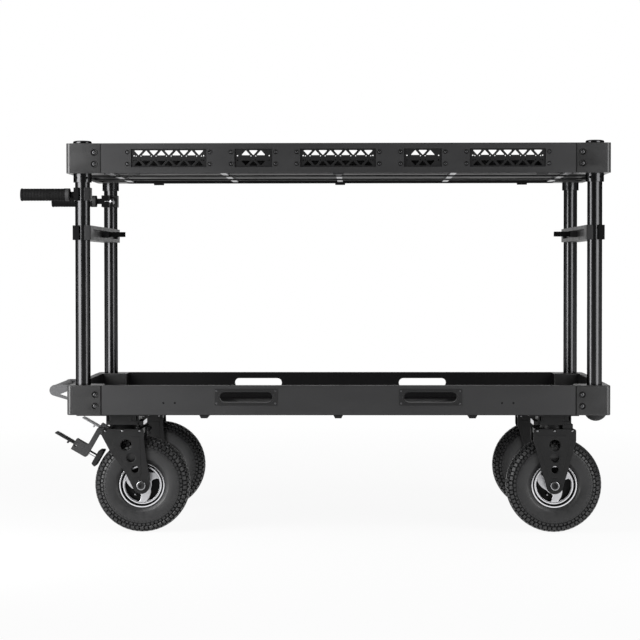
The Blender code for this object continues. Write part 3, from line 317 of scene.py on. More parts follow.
class Look:
    """One procedural material, built on the Principled shader."""

    def __init__(self, name, metallic=0.0, specular=0.5):
        self.material = bpy.data.materials.new(name)
        self.material.use_nodes = True
        self.tree = self.material.node_tree
        self.shader = self.tree.nodes["Principled BSDF"]
        self.shader.inputs["Metallic"].default_value = metallic
        self.shader.inputs["Specular IOR Level"].default_value = specular
        self.place = node(self.tree, "TexCoord", {}).outputs["Object"]

    def noise(self, scale, detail, stretch=(1, 1, 1)):
        """Return noise at a scale in waves per metre, stretched along the axes."""
        mapping = node(self.tree, "Mapping", {"Scale": stretch, "Vector": self.place})
        inputs = {"Scale": scale, "Detail": detail, "Vector": mapping.outputs["Vector"]}
        return node(self.tree, "TexNoise", inputs).outputs["Fac"]

    def rings(self, pitch):
        """Return fine rings about the object's own Y axis."""
        parts = split(self.tree, self.place)
        flat = node(self.tree, "CombineXYZ", {"X": parts["X"], "Z": parts["Z"]})
        radius = length(self.tree, flat.outputs["Vector"])
        return maths(self.tree, "SINE", maths(self.tree, "MULTIPLY", radius, tau / pitch))

    def finish(self, value, dark, light, marks, rough, height, distance, strength=0.5):
        """Colour by a value between two (place, tone) stops, roughen by marks, and add a bump."""
        ramp = node(self.tree, "ValToRGB", {"Fac": value})
        for element, (place, tone) in zip(ramp.color_ramp.elements, (dark, light)):
            element.position = place
            element.color = grey(tone)
        inputs = {"Distance": distance, "Strength": strength, "Height": height}
        bump = node(self.tree, "Bump", inputs).outputs["Normal"]
        link = self.tree.links.new
        link(ramp.outputs["Color"], self.shader.inputs["Base Color"])
        link(spread(self.tree, marks, *rough), self.shader.inputs["Roughness"])
        link(bump, self.shader.inputs["Normal"])
        return self.material


def anodised(name, tone, roughness, specular):
    """Return bead-blasted, anodised aluminium with faint handling marks."""
    look = Look(name, specular=specular)
    fine = look.noise(1500.0, 2.0)
    cloud = maths(look.tree, "MULTIPLY", look.noise(2.4, 4.0), 0.7)
    value = maths(look.tree, "ADD", cloud, maths(look.tree, "MULTIPLY", fine, 0.3))
    marks = look.noise(26.0, 6.0, (0.35, 1, 1))
    rough = (0.3, 0.75, roughness - 0.05, roughness + 0.08)
    return look.finish(value, (0.3, tone * 0.86), (0.7, tone * 1.16), marks, rough, fine, 0.00005)


def powder(name, tone, roughness, specular=0.3):
    """Return powder-coated steel with its fine orange peel."""
    look = Look(name, specular=specular)
    rough = (0.3, 0.7, *about(roughness, 0.07))
    return look.finish(look.noise(9.0, 5.0), (0.3, tone * 0.8), (0.7, tone * 1.2),
                       look.noise(60.0, 4.0), rough, look.noise(420.0, 2.0), 0.00012)


def polished(name, tone, roughness, pitch):
    """Return turned and polished metal with fine rings about its own axis."""
    look = Look(name, metallic=1.0)
    rough = (0.3, 0.7, roughness - 0.04, roughness + 0.06)
    return look.finish(look.noise(55.0, 4.0), (0.3, tone * 0.9), (0.7, tone),
                       look.noise(240.0, 3.0), rough, look.rings(pitch), 0.000012)


def brushed(name, tone, roughness, stretch):
    """Return brushed metal, its grain drawn out along one axis."""
    look = Look(name, metallic=1.0)
    grain = look.noise(300.0, 3.0, stretch)
    rough = (0.3, 0.7, roughness - 0.06, roughness + 0.08)
    return look.finish(grain, (0.25, tone * 0.72), (0.75, tone * 1.1), look.noise(30.0, 4.0),
                       rough, grain, 0.00004)


def gloss_post(name, tone):
    """Return gloss black anodised tube with faint handling marks."""
    look = Look(name, metallic=1.0)
    look.shader.inputs["Specular Tint"].default_value = grey(0.03)
    cloud = look.noise(14.0, 4.0, (1, 1, 0.15))
    return look.finish(cloud, (0.3, tone * 0.92), (0.7, tone * 1.08), look.noise(12.0, 3.0),
                       (0.3, 0.7, 0.20, 0.25), look.noise(600.0, 2.0), 0.000001, 0.2)


def rubber(name, tone, roughness, specular=0.35):
    """Return rubber with a dusty, uneven surface."""
    look = Look(name, specular=specular)
    rough = (0.3, 0.7, *about(roughness, 0.1))
    return look.finish(look.noise(22.0, 6.0), (0.28, tone * 0.75), (0.72, tone * 1.3),
                       look.noise(80.0, 4.0), rough, look.noise(700.0, 3.0), 0.00014, 0.6)


def knurled(name, tone):
    """Return grip rubber moulded with small raised dots."""
    look = Look(name, specular=0.12)
    inputs = {"Scale": 420.0, "Vector": look.place}
    dots = node(look.tree, "TexVoronoi", inputs).outputs["Distance"]
    raised = maths(look.tree, "SUBTRACT", 1.0, dots)
    return look.finish(dots, (0.1, tone * 1.35), (0.6, tone * 0.7), look.noise(90.0, 3.0),
                       (0.3, 0.7, 0.6, 0.78), raised, 0.0004, 0.7)


RAIL = anodised("rail_black", 0.030, 0.42, 0.4)
# A darker copy of the rails' finish: painted shade for faces that look down or inwards.
RAIL_PAINTED_SHADE = anodised("rail_painted_shade", 0.016, 0.5, 0.03)
BLOCK = anodised("block_black", 0.011, 0.35, 0.75)
FLOOR_PLATE = anodised("floor_black", 0.017, 0.5, 0.12)
BUMPER = anodised("bumper_grey", 0.10, 0.42, 0.3)
MESH = anodised("mesh_black", 0.014, 0.5, 0.15)
# Near-black for recesses: painted shade in countersinks, small holes and the rails' joints.
RECESS_PAINTED_SHADE = anodised("recess_painted_shade", 0.004, 0.4, 0.2)
BEZEL = anodised("bezel_black", 0.018, 0.4, 0.3)
POST = gloss_post("post_black", 0.066)
JAW = powder("jaw_black", 0.028, 0.42, 0.2)
# Near-black powder coat for the outer jaws; on the crossbars it is painted shade between the posts.
DARK_JAW_AND_PAINTED_SHADE = powder("jaw_dark_and_painted_shade", 0.008, 0.5, 0.0)
GRIP = knurled("grip_black", 0.004)
GRIP_RING = rubber("grip_ring", 0.03, 0.6)
RIB = brushed("rib_satin", 0.42, 0.36, (1, 0.03, 1))
CASTER = powder("caster_black", 0.009, 0.45)
CASTER_DARK = powder("caster_dark", 0.005, 0.6, 0.1)
BRAKE = powder("brake_grey", 0.034, 0.5)
# The pedals' tones are painted light and shade: the front pedal darker, the back one lit.
PEDAL_PAINTED_SHADE = powder("pedal_painted_shade", 0.020, 0.5)
PEDAL_PAINTED_LIGHT = powder("pedal_painted_light", 0.36, 0.4)
TYRE = rubber("tyre_rubber", 0.020, 0.44, 0.5)
# Darker rubber for the carcass between the tread blocks: painted shade in the gaps.
TREAD_GAP_PAINTED_SHADE = rubber("tread_gap_painted_shade", 0.012, 0.7, 0.2)
PAD = rubber("pad_rubber", 0.008, 0.8)
FOOT = rubber("foot_rubber", 0.010, 0.6)
RIM_BRIGHT = polished("rim_bright", 0.86, 0.16, 0.0009)
RIM_SATIN = polished("rim_satin", 0.76, 0.32, 0.0009)
RIM_BLACK = powder("rim_black", 0.003, 0.4, 0.15)
STEEL = polished("screw_steel", 0.42, 0.26, 0.0006)
SCREW_DARK = polished("screw_dark", 0.15, 0.28, 0.0006)
BRIGHT = polished("shaft_bright", 0.85, 0.15, 0.0008)


# Objects
def added(name, data):
    """Add an object to the scene."""
    made = bpy.data.objects.new(name, data)
    bpy.context.scene.collection.objects.link(made)
    return made


def show(name, mesh, look, body, stands_for, origin, sharp):
    """Make an object from a mesh, shade it and let it ride on a body."""
    mesh.shade_smooth()
    mesh.set_sharp_from_angle(angle=radians(sharp))
    mesh.materials.clear()
    mesh.materials.append(look)
    made = added(name, mesh)
    made.location = origin
    normals = made.modifiers.new("normals", "WEIGHTED_NORMAL")
    normals.keep_sharp = True
    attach(made, body)
    if stands_for:
        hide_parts(*stands_for)
    return made


def second_look(made, look, is_meant):
    """Give the faces that a test picks by their centre and normal another material."""
    made.data.materials.append(look)
    for face in made.data.polygons:
        if is_meant(face.center - Vector((SHIFT, 0, 0)) + made.location, face.normal):
            face.material_index = 1


def piece(name, shapes, look, body, stands_for=(), origin=(0, 0, 0), sharp=50):
    """Make one piece from shapes written about its origin, itself given from the tray's centre."""
    mesh = bpy.data.meshes.new(name)
    points = []
    faces = []
    for shape_points, shape_faces in shapes:
        faces += [tuple(index + len(points) for index in face) for face in shape_faces]
        points += shape_points
    mesh.from_pydata(points, [], faces)
    solid = bmesh.new()
    solid.from_mesh(mesh)
    bmesh.ops.recalc_face_normals(solid, faces=solid.faces)
    solid.to_mesh(mesh)
    solid.free()
    place = Vector(origin) + Vector((SHIFT, 0, 0))
    return show(name, mesh, look, body, stands_for, place, sharp)


def stand_in(name, shapes, look, body, origin=(0, 0, 0), sharp=50):
    """Make the piece that stands for the CAD node of its name."""
    return piece(f"{name}_shown", shapes, look, body, [name], origin, sharp)


def dressed(name, look, edge, segments=2):
    """Stand in for a CAD node with a copy of it whose edges are rounded."""
    source = frame["nodes"][name]
    solid = bmesh.new()
    solid.from_mesh(source.data)
    bmesh.ops.remove_doubles(solid, verts=solid.verts, dist=0.00001)
    bmesh.ops.dissolve_limit(solid, angle_limit=radians(1), verts=solid.verts,
                             edges=solid.edges)
    mesh = bpy.data.meshes.new(name)
    solid.to_mesh(mesh)
    solid.free()
    if "custom_normal" in mesh.attributes:
        mesh.attributes.remove(mesh.attributes["custom_normal"])
    made = show(f"{name}_shown", mesh, look, source["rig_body"], [name], (0, 0, 0), 50)
    bevel = made.modifiers.new("edges", "BEVEL")
    bevel.width = edge
    bevel.segments = segments
    bevel.limit_method = "ANGLE"
    bevel.angle_limit = radians(40)
    made.modifiers.move(1, 0)
    return made


# Rails, blocks and floors
def make_upper_rails():
    """Dress the shelf's rails, with painted shade on their lower and inner faces."""
    ways = {"front": (0, -1, 0), "back": (0, 1, 0), "left": (-1, 0, 0), "right": (1, 0, 0)}
    for name, way in ways.items():
        out = Vector(way)
        second_look(dressed(f"upper_rail_{name}", RAIL, 0.001), RAIL_PAINTED_SHADE,
                    lambda at, normal: normal.z < -0.7 or normal.dot(out) < -0.7)


def triangle(u, v, point):
    """Return one triangular opening of the mesh, its corners rounded."""
    half, rise, radius = 0.0115, point * 0.00625, 0.0011
    return rounded([(u - half, v - rise, radius), (u + half, v - rise, radius),
                    (u, v + rise, radius)], 2)


def mesh_holes(place, steps):
    """Return the openings of one window: triangles in two rows, and the dots between them."""
    holes = []
    for row in (1, -1):
        for step in range(-steps, steps + 1):
            u = place + step * MESH_PITCH
            point = -row if step % 2 == 0 else row
            holes.append(triangle(u, WINDOW_Z + row * 0.0132, point))
            if step % 2 == 0:
                holes += [circle(u + side * 0.0060, WINDOW_Z + row * 0.0050, 0.0014, 8)
                          for side in (-1, 1)]
        reach = HALF_WINDOW[steps] - 0.0077
        holes += [circle(place + side * reach, WINDOW_Z + row * 0.0058, 0.0017, 8)
                  for side in (-1, 1)]
    return holes


def make_mesh_panels():
    """Make the mesh panels behind the windows of the shelf's rails."""
    sets = [("Y", side, name, HALF_WIDTH, WINDOWS) for side, name in SIDES.items()]
    sets += [("X", end, name, HALF_LENGTH, [(0.0, 4)]) for end, name in ENDS.items()]
    for axis, outward, name, half_size, windows in sets:
        half = max(place + HALF_WINDOW[steps] for place, steps in windows) + 0.014
        holes = [hole for place, steps in windows for hole in mesh_holes(place, steps)]
        outline = rounded_box((-half, half), about(WINDOW_Z, 0.027), 0.003)
        levels = layer(outward, outward * half_size, 0.0068, -0.0028)
        panel = prism(outline, levels, axis, holes, 0.0004, 1)
        stand_in(f"mesh_panel_{name}", [panel], MESH, "root")


def face_point(axis, outward, face, u, v):
    """Return a point on an outer face and the face's normal."""
    point = Vector(on_axis(axis, u, v, outward * face))
    return point, Vector(on_axis(axis, 0, 0, outward))


def make_screws(name, spots, size, body="root", look=SCREW_DARK):
    """Make a group of socket screws, each in a dished seat painted near-black as countersink shade.
    """
    seats = [turned_head(SEAT_SHARES, *spot, size, 0.19 * size, 24) for spot in spots]
    heads = [screw(*spot, 0.52 * size, 0.24 * size) for spot in spots]
    piece(f"{name}_seats", seats, RECESS_PAINTED_SHADE, body)
    piece(f"{name}_heads", heads, look, body)


def make_rail_screws():
    """Make the screws beside the windows and those that hold the rails in the blocks."""
    beside = 0.0086
    levels = about(WINDOW_Z, 0.015)
    spots = [face_point("Y", side, HALF_WIDTH, u, v) for side in SIDES for place, steps in WINDOWS
             for u in about(place, HALF_WINDOW[steps] + beside) for v in levels]
    spots += [face_point("X", end, HALF_LENGTH, u, v) for end in ENDS
              for u in about(0, HALF_WINDOW[4] + beside) for v in levels]
    make_screws("window_screw", spots, 0.0057)
    lengthwise, across = 0.617, 0.2865
    spots = []
    for end, side, _ in CORNERS:
        for bottom in (LOWER_RAIL_Z, UPPER_RAIL_Z):
            for level in about(bottom + RAIL_HEIGHT / 2, 0.0145):
                spots.append(face_point("Y", side, HALF_WIDTH, end * lengthwise, level))
                spots.append(face_point("X", end, HALF_LENGTH, side * across, level))
    make_screws("corner_screw", spots, 0.0086)


def make_long_rail(side, slots):
    """Make one of the tray's long rails, with painted shade on its lower and inner faces."""
    name = f"lower_rail_{SIDES[side]}"
    half = HALF_LENGTH - BLOCK_SIZE - 0.0003
    top = LOWER_RAIL_Z + RAIL_HEIGHT
    outline = [(-half, LOWER_RAIL_Z), (half, LOWER_RAIL_Z), (half, top), (-half, top)]
    levels = layer(side, side * HALF_WIDTH, RAIL_DEPTH, 0.0)
    rail = prism(outline, levels, "Y", slots, 0.001)
    second_look(stand_in(name, [rail], RAIL, "root"), RAIL_PAINTED_SHADE,
                lambda at, normal: normal.y * side < -0.7 or normal.z < -0.3)


def make_slot_frames(side, slots):
    """Make the frames round a long rail's hand slots, their screws and the two dots by each."""
    outer = side * HALF_WIDTH
    low, high = layer(side, outer, 0.0004, 0.0011)
    frames = []
    screws = []
    dots = []
    for end, hole in zip(ENDS, slots):
        x = end * SLOT_X
        rim = rounded_box(about(x, 0.080), about(SLOT_Z, 0.0212), 0.003)
        opening = inset(hole, -0.004)
        frames.append(prism(rim, (low, high), "Y", [opening], 0.0006))
        lip_top = high - 0.0003 if side > 0 else high
        frames.append(prism(opening, (low, lip_top), "Y", [hole], 0.0004))
        for u in about(x, 0.0745):
            for v in about(SLOT_Z, 0.0158):
                spot = face_point("Y", side, HALF_WIDTH + 0.0011, u, v)
                screws.append(screw(*spot, 0.0024, 0.0004, 0.55, 12))
        # The dots are near-black discs, painted shade for small holes in the rail.
        for u in (0.414, 0.443):
            spot = face_point("Y", side, HALF_WIDTH, end * u, 0.335)
            dots.append(screw(*spot, 0.0028, 0.00015, 0.75, 12))
    name = SIDES[side]
    piece(f"slot_frames_{name}", frames, BEZEL, "root")
    piece(f"slot_screws_{name}", screws, SCREW_DARK, "root")
    piece(f"rail_holes_{name}", dots, RECESS_PAINTED_SHADE, "root")


def make_lower_rails():
    """Make the tray's rails, with framed hand slots in the long ones, and the rails' joints."""
    for side, name in SIDES.items():
        slots = [rounded_box(about(end * SLOT_X, 0.067), about(SLOT_Z, 0.013), 0.0125)
                 for end in ENDS]
        make_long_rail(side, slots)
        # The joints are black strips, painted shade in the grooves where the rails meet the blocks.
        joints = []
        for end in ENDS:
            across = sorted((end * 0.5996, end * 0.6020))
            for bottom in (LOWER_RAIL_Z, UPPER_RAIL_Z):
                tall = (bottom + 0.0012, bottom + RAIL_HEIGHT - 0.0012)
                levels = layer(side, side * HALF_WIDTH, 0.0004, 0.00015)
                joints.append(slab("Y", across, tall, levels, 0.0005, steps=2))
        piece(f"rail_joints_{name}", joints, RECESS_PAINTED_SHADE, "root")
        make_slot_frames(side, slots)
    for end, name in ENDS.items():
        # The end rails' inner faces take painted shade.
        second_look(dressed(f"lower_rail_{name}", RAIL, 0.001), RAIL_PAINTED_SHADE,
                    lambda at, normal: normal.x * end < -0.7)


def make_blocks():
    """Dress the corner blocks, the upper ones with their collars in the posts' black."""
    for _, _, corner in CORNERS:
        shown = dressed(f"upper_block_{corner}", BLOCK, 0.0022, 3)
        second_look(shown, POST, lambda at, normal: at.z < UPPER_RAIL_Z - 0.0005)
        dressed(f"lower_block_{corner}", BLOCK, 0.0022, 3)


def make_floors():
    """Dress the floors, and make the ribs and stringers under the shelf."""
    dressed("shelf_floor", FLOOR_PLATE, 0.0005)
    dressed("tray_floor", FLOOR_PLATE, 0.0006)
    pitch, half_rib, half_bar = 0.2965, 0.3352, 0.6682
    ribs = [slab("Y", about(index * pitch, 0.0075), (0.920, 0.9247), about(0, half_rib), 0.0008,
                 steps=2) for index in range(-2, 3)]
    bars = [slab("X", about(side * 0.115, 0.015), (UPPER_RAIL_Z, 0.9207), about(0, half_bar),
                 0.0012, steps=2) for side in SIDES]
    piece("shelf_ribs_shown", ribs, RIB, "root", ["shelf_frame"])
    # The stringers take the darker rail finish: painted shade under the shelf.
    piece("shelf_stringers_shown", bars, RAIL_PAINTED_SHADE, "root", ["shelf_frame"])


def make_posts():
    """Make the posts with their domed caps, index marks and the screws of their collars."""
    tube = [(0.016, 0.3248), (POST_RADIUS, 0.3248), (POST_RADIUS, 0.9928), (0.0228, 0.9928),
            (0.0235, 0.9935), (0.0235, 0.9972), (0.0229, 0.9985), (0.0212, 0.9997),
            (0.0165, 1.0006), (0.0108, 1.0009), (0.0100, 1.0003), (0.0, 1.0000)]
    for end, side, corner in CORNERS:
        x, y = end * POST_X, side * POST_Y
        stand_in(f"post_{corner}", [lathe(tube, "Z", x, y, 48)], POST, "root")
        marks = [screw((x + way * (POST_RADIUS - 0.0001), y, level), (way, 0, 0), 0.0016, 0.0003,
                       0.6, 12)
                 for level in (0.42, 0.47, 0.52, 0.57, 0.62, 0.67, 0.72, 0.82) for way in (-1, 1)]
        piece(f"post_marks_{corner}", marks, STEEL, "root")
        collar = Vector((x, y, UPPER_RAIL_Z - 0.011))
        pins = []
        for angle in (radians(-125), radians(-55)):
            way = Vector((cos(angle), side * -sin(angle), 0))
            pins.append(screw(collar + way * 0.0226, way, 0.0032, 0.001, 0.55, 12))
        piece(f"collar_screws_{corner}", pins, DARK_JAW_AND_PAINTED_SHADE, "root")


def make_feet():
    """Make the domed rubber feet."""
    half_chord = 0.027
    height = 0.016
    sphere = (half_chord ** 2 + height ** 2) / (2 * height)
    profile = []
    for step in range(11):
        drop = height * (1 - (1 - step / 10) ** 2) * 0.985
        above = sphere - height + drop
        profile.append((sqrt(sphere ** 2 - above ** 2), TRAY_BOTTOM - drop))
    for side, name in SIDES.items():
        foot = lathe(profile, "Z", 0.654, side * 0.321)
        stand_in(f"foot_{name}_right", [foot], FOOT, "root")


# Handles and crossbars
def is_outer_jaw(at):
    """Say whether a face lies on the jaw outside the posts."""
    return POST_X + 0.004 < abs(at.x) < POST_X + 0.03


def grip_profile(outer, root):
    """Return a grip's profile: a rounded end, thirteen ridges and a collar at the root."""
    profile = [(0.0, 0.0), (0.0140, 0.0), (0.0155, 0.0006), (0.0162, 0.002), (0.0162, 0.0058),
               (0.0152, 0.0068)]
    for step in range(13):
        ridge = [(0.0151, 0.0), (0.0157, 0.0008), (0.0157, 0.006), (0.0151, 0.0068)]
        profile += shifted(ridge, 0, 0.0085 + step * 0.0078)
    collar = [(0.0153, -0.017), (0.0162, -0.016), (0.0162, -0.001), (0.0154, 0.0), (0.0081, 0.0)]
    return shifted(profile, 0, outer) + shifted(collar, 0, root)


def make_handles():
    """Dress the handle clamps, and make the grips, their rings and the bright nuts and pins."""
    outer, root = -0.8135, -0.6865
    ring = [(0.0160, -0.0125), (0.01625, -0.012), (0.01625, -0.003), (0.0160, -0.0025)]
    nut = [(0.0070, 0.0004), (0.0087, 0.0010), (0.0087, 0.0112), (0.0074, 0.0121), (0.0, 0.0121)]
    pin = [(0.0, -0.6640), (0.0022, -0.6636), (0.0022, -0.6480), (0.0085, -0.6478),
           (0.0095, -0.6468), (0.0095, -0.6390), (0.0085, -0.6380), (0.0, -0.6380)]
    for side, name in SIDES.items():
        body = f"handle_{name}"
        second_look(dressed(f"handle_clamp_{name}", JAW, 0.0008), DARK_JAW_AND_PAINTED_SHADE,
                    lambda at, normal: is_outer_jaw(at) or abs(at.x) > POST_X + 0.022)
        y = side * (POST_Y - 0.031)
        grip = lathe(grip_profile(outer, root), "X", y, HANDLE_Z)
        stand_in(f"handle_grip_{name}", [grip], GRIP, body)
        band = lathe(shifted(ring, 0, root), "X", y, HANDLE_Z, closed=True)
        piece(f"grip_ring_{name}", [band], GRIP_RING, body)
        bright = [lathe(shifted(nut, 0, -POST_X + 0.0035), "X", y, HANDLE_Z, 32),
                  lathe(pin, "X", side * (POST_Y - 0.0440), HANDLE_Z, 16)]
        piece(f"shaft_nut_{name}", bright, BRIGHT, body)


def make_crossbars():
    """Dress the crossbars, darker on the outer jaws, with painted shade on the middle between the
    posts.
    """
    for name in ENDS.values():
        # Faces within 0.2 m of the middle and inside the posts take painted shade.
        second_look(dressed(f"crossbar_{name}", JAW, 0.0009), DARK_JAW_AND_PAINTED_SHADE,
                    lambda at, normal: is_outer_jaw(at)
                    or (abs(at.y) < 0.2 and abs(at.x) < POST_X - 0.025))


# Casters
def tangent(point, behind, turn):
    """Return the angle on the boss where the line from a point touches it."""
    across = Vector(point[:2]) - Vector((behind, 0.0))
    return atan2(across.y, across.x) + turn * acos(BOSS_RADIUS / across.length)


def fork_edge(shares, near, far):
    """Return corners between a plate's top and its boss, from shares across and down."""
    return [(near + (far - near) * across, FORK_TOP * (1 - down), 0.012) for across, down in shares]


def fork_outline(end):
    """Return a fork's side plate, from the kingpin in X and from the axle in Z."""
    behind = TRAIL[end]
    low, high = about(behind, BOSS_RADIUS)
    if end < 0:
        ahead = fork_edge([(0.014, 0.12), (0.25, 0.366), (0.75, 0.76)], -FORK_CORNER, low)
        rear = fork_edge([(1.06, 0.885), (0.49, 0.557), (0.05, 0.166)], FORK_CORNER, high)
    else:
        ahead = fork_edge([(0.0, 0.21)], -FORK_CORNER, low)
        rear = fork_edge([(0.0, 0.21)], FORK_CORNER, high)
    first = tangent(ahead[-1], behind, 1)
    last = tangent(rear[0], behind, -1)
    last += tau * ceil((first - last) / tau)
    arc = []
    for step in range(17):
        angle = first + (last - first) * step / 16
        arc.append((behind + BOSS_RADIUS * cos(angle), BOSS_RADIUS * sin(angle), 0))
    return rounded([(-FORK_CORNER, FORK_TOP, 0.005), *ahead, *arc, *rear,
                    (FORK_CORNER, FORK_TOP, 0.005)], 4)


def make_fork(end, side, corner):
    """Make a fork: side plates with raised panels, crown, race and screws."""
    body = f"fork_{corner}" if end < 0 else "root"
    x, y = end * CASTER_X, side * CASTER_Y
    place = shifted(fork_outline(end), x, AXLE_Z)
    holes = [circle(x + TRAIL[end] * across, AXLE_Z + FORK_TOP * (1 - down), radius, 32)
             for across, down, radius in FORK_HOLES]
    panel_holes = [inset(hole, -0.0008) for hole in holes]
    panel = shifted(rounded(FORK_PANELS[end]), x, AXLE_Z)
    shapes = []
    heads = []
    for face in (-1, 1):
        outer = y + face * FORK_HALF
        shapes.append(prism(place, layer(face, outer, 0.005, 0.0), "Y", holes, 0.0009))
        shapes.append(prism(panel, layer(face, outer, 0.0008, 0.0009), "Y", panel_holes, 0.0007))
        boss = [(0.0125, -0.001), (0.0128, 0.0007), (0.0168, 0.0007), (0.0178, -0.001)]
        ring = shifted(facing_side(boss, face), 0, outer)
        shapes.append(lathe(ring, "Y", x + TRAIL[end], AXLE_Z, closed=True))
        heads += [((x + spot * 0.044, outer, 0.1395 + AXLE_Z), (0, face, 0))
                  for spot in (-1, 0, 1)]
    top = CROWN_TOP
    shapes.append(slab("Z", about(x, 0.05), about(y, 0.0475), (top - 0.014, top), 0.003, 0.001))
    if end > 0:
        shapes += bracket_shapes(end, side)
        shapes.append(slab("Z", (x + 0.020, x + 0.0462), about(y, 0.044), (top - 0.001, 0.2790),
                           0.002, 0.0006))
        shapes.append(lathe([(0.034, top - 0.002), (0.034, 0.2787)], "Z", x, y))
    stand_in(f"caster_fork_{corner}", shapes, CASTER, body)
    make_screws(f"fork_screw_{corner}", heads, 0.0046, body, STEEL)
    if end < 0:
        race = [(0.0310, top - 0.001), (0.034, top), (0.034, top + 0.003), (0.0315, top + 0.0042),
                (0.0315, top + 0.0062), (0.034, top + 0.0074), (0.034, 0.2763), (0.0310, 0.2764)]
        piece(f"swivel_race_{corner}", [lathe(race, "Z", x, y, 48)], CASTER_DARK, body,
              [f"caster_fork_{corner}"])
        bolts = [turned_head(HEAD_SHARES, (u, v, top), (0, 0, 1), 0.0046, 0.0052, 6)
                 for u in about(x, 0.037) for v in about(y, 0.033)]
        piece(f"crown_bolts_{corner}", bolts, JAW, body)


def bracket_shapes(end, side):
    """Return a caster's top bracket with its plate and the details of its faces."""
    x, y = end * CASTER_X, side * CASTER_Y
    shapes = [slab("Z", layer(end, x, 0.068, 0.1157 if end < 0 else 0.060), about(y, 0.065),
                   (0.3012, TRAY_BOTTOM), 0.004, 0.0005),
              slab("Z", about(x, 0.036), about(y, 0.041), (0.2775, 0.3025), 0.002),
              slab("Z", layer(end, x, 0.0535, 0.042), about(y, 0.043), (RACE_TOP, 0.2868), 0.003,
                   0.0008)]
    for way in (-1, 1):
        shapes.append(slab("Y", layer(way, x, -0.0385, 0.042), (RACE_TOP, 0.3020),
                           about(y, 0.043), 0.001, 0.0006))
        shapes.append(slab("Y", (x - 0.031, x + 0.022), (0.2860, 0.3020),
                           layer(way, y, -0.040, 0.0430), 0.0012, 0.0006))
    return shapes


def make_brackets():
    """Make the top brackets of the swivel casters, and the end plates of all four."""
    for side, name in SIDES.items():
        stand_in(f"caster_bracket_{name}_left", bracket_shapes(-1, side), CASTER, "root")
    for end, side, corner in CORNERS:
        x, y = end * (CASTER_X - 0.0541), side * CASTER_Y
        plate = slab("X", about(y, 0.042), (0.2772, 0.2885), about(x, 0.0006), 0.001, 0.0003)
        piece(f"bracket_end_{corner}", [plate], RIM_SATIN, "root")


def lug(radius, across, lean, angle, size, twist):
    """Return one tread block on a tyre, leaning outwards from the radial direction."""
    long, wide, height = size
    radial = Vector((cos(angle), 0, sin(angle)))
    along = Vector((-sin(angle), 0, cos(angle)))
    up = radial * cos(lean) + Vector((0, 1, 0)) * sin(lean)
    cross = along.cross(up)
    centre = radial * radius + Vector((0, across, 0))
    a = (along * cos(twist) + cross * sin(twist)) * (long / 2)
    b = (cross * cos(twist) - along * sin(twist)) * (wide / 2)
    points = []
    for share, lift in ((1.0, -0.0012), (1.0, 0.55 * height), (0.86, height)):
        for i, j in ((-1, -1), (1, -1), (1, 1), (-1, 1)):
            points.append(tuple(centre + (a * i + b * j) * share + up * lift))
    return points, [(8, 9, 10, 11), *ring_faces(0, 4, 4), *ring_faces(4, 4, 4)]


def carcass():
    """Return a tyre's body about its own centre."""
    half = [(0.0584, 0.0272), (0.0592, 0.0305), (0.0625, 0.0335), (0.0655, 0.0350),
            (0.0672, 0.0366), (0.0695, 0.0372), (0.0760, 0.0386), (0.0860, 0.0396),
            (0.0940, 0.0392), (0.0975, 0.0384), (0.1010, 0.0368), (0.1060, 0.0336),
            (0.1100, 0.0300), (0.1132, 0.0250), (0.1150, 0.0175), (0.1158, 0.0090)]
    profile = [*half, (0.1160, 0.0), *facing_side(reversed(half), -1)]
    return lathe(profile, "Y", 0, 0, 96, True)


def tread():
    """Return a tyre's tread blocks: wider and narrower ones take turns round each row."""
    # Each row: radius, distance across, lean, (length, width, height), twist and phase.
    rows = [
        (0.1160, 0.0, 0.0, (0.0110, 0.0090, 0.0060), 0.0, 0.0),
        (0.1156, 0.0115, 0.08, (0.0110, 0.0090, 0.0060), 0.3, 0.5),
        (0.1136, 0.0228, 0.35, (0.0110, 0.0098, 0.0058), -0.2, 0.0),
        (0.1082, 0.0316, 0.85, (0.0106, 0.0098, 0.0050), 0.1, 0.5),
        (0.1008, 0.0366, 1.25, (0.0094, 0.0062, 0.0028), 0.0, 0.0),
        (0.0945, 0.0388, 1.45, (0.0050, 0.0046, 0.0012), 0.0, 0.5)]
    shapes = []
    for radius, across, lean, (long, wide, height), twist, phase in rows:
        for step in range(TREAD_REPEATS):
            angle = tau * (step + phase) / TREAD_REPEATS
            share = 1.0 if step % 2 else 0.78
            size = (long * share, wide * (0.7 + 0.3 * share), height)
            for way in (-1, 1) if across else (1,):
                shapes.append(lug(radius, way * across, way * lean, angle, size, way * twist))
    return shapes


def spoke_window(index, side):
    """Return one opening between two spokes, blunt at one end and narrow at the other."""
    inner, outer = 0.0240, 0.0453
    turns = []
    for step in range(19):
        share = step / 18
        turns.append((outer - 0.0045 * max(0.0, 1 - share / 0.05), 22.0 - 100.0 * share))
    for step in range(19):
        share = 1 - step / 18
        rise = max(0.0, (share - 0.50) / 0.50) ** 1.25
        blunt = 0.0050 * max(0.0, 1 - share / 0.08)
        turns.append((inner + blunt + (outer - 0.0022 - inner) * rise, 24.0 - 97.0 * share))
    points = []
    for radius, degrees in turns:
        angle = radians(-side * (degrees + 120.0 * index))
        points.append((radius * cos(angle), radius * sin(angle)))
    return points


def rim_lips(side):
    """Return the polished rings of a rim: one on either edge, and two round the face."""
    edge = [(0.0544, 0.0240), (0.0544, 0.0304), (0.0548, 0.0309), (0.0576, 0.0309),
            (0.0581, 0.0304), (0.0581, 0.0240)]
    outer = [(0.0456, 0.0190), (0.0460, 0.0206), (0.0464, 0.0210), (0.0497, 0.0210),
             (0.0502, 0.0205), (0.0502, 0.0190)]
    inner = [(0.0212, 0.0190), (0.0216, 0.0199), (0.0224, 0.0199), (0.0228, 0.0190)]
    return [lathe(facing_side(ring, way), "Y", 0, 0, sides, True)
            for ring, way, sides in ((edge, -1, 72), (edge, 1, 72), (outer, side, 72),
                                     (inner, side, 48))]


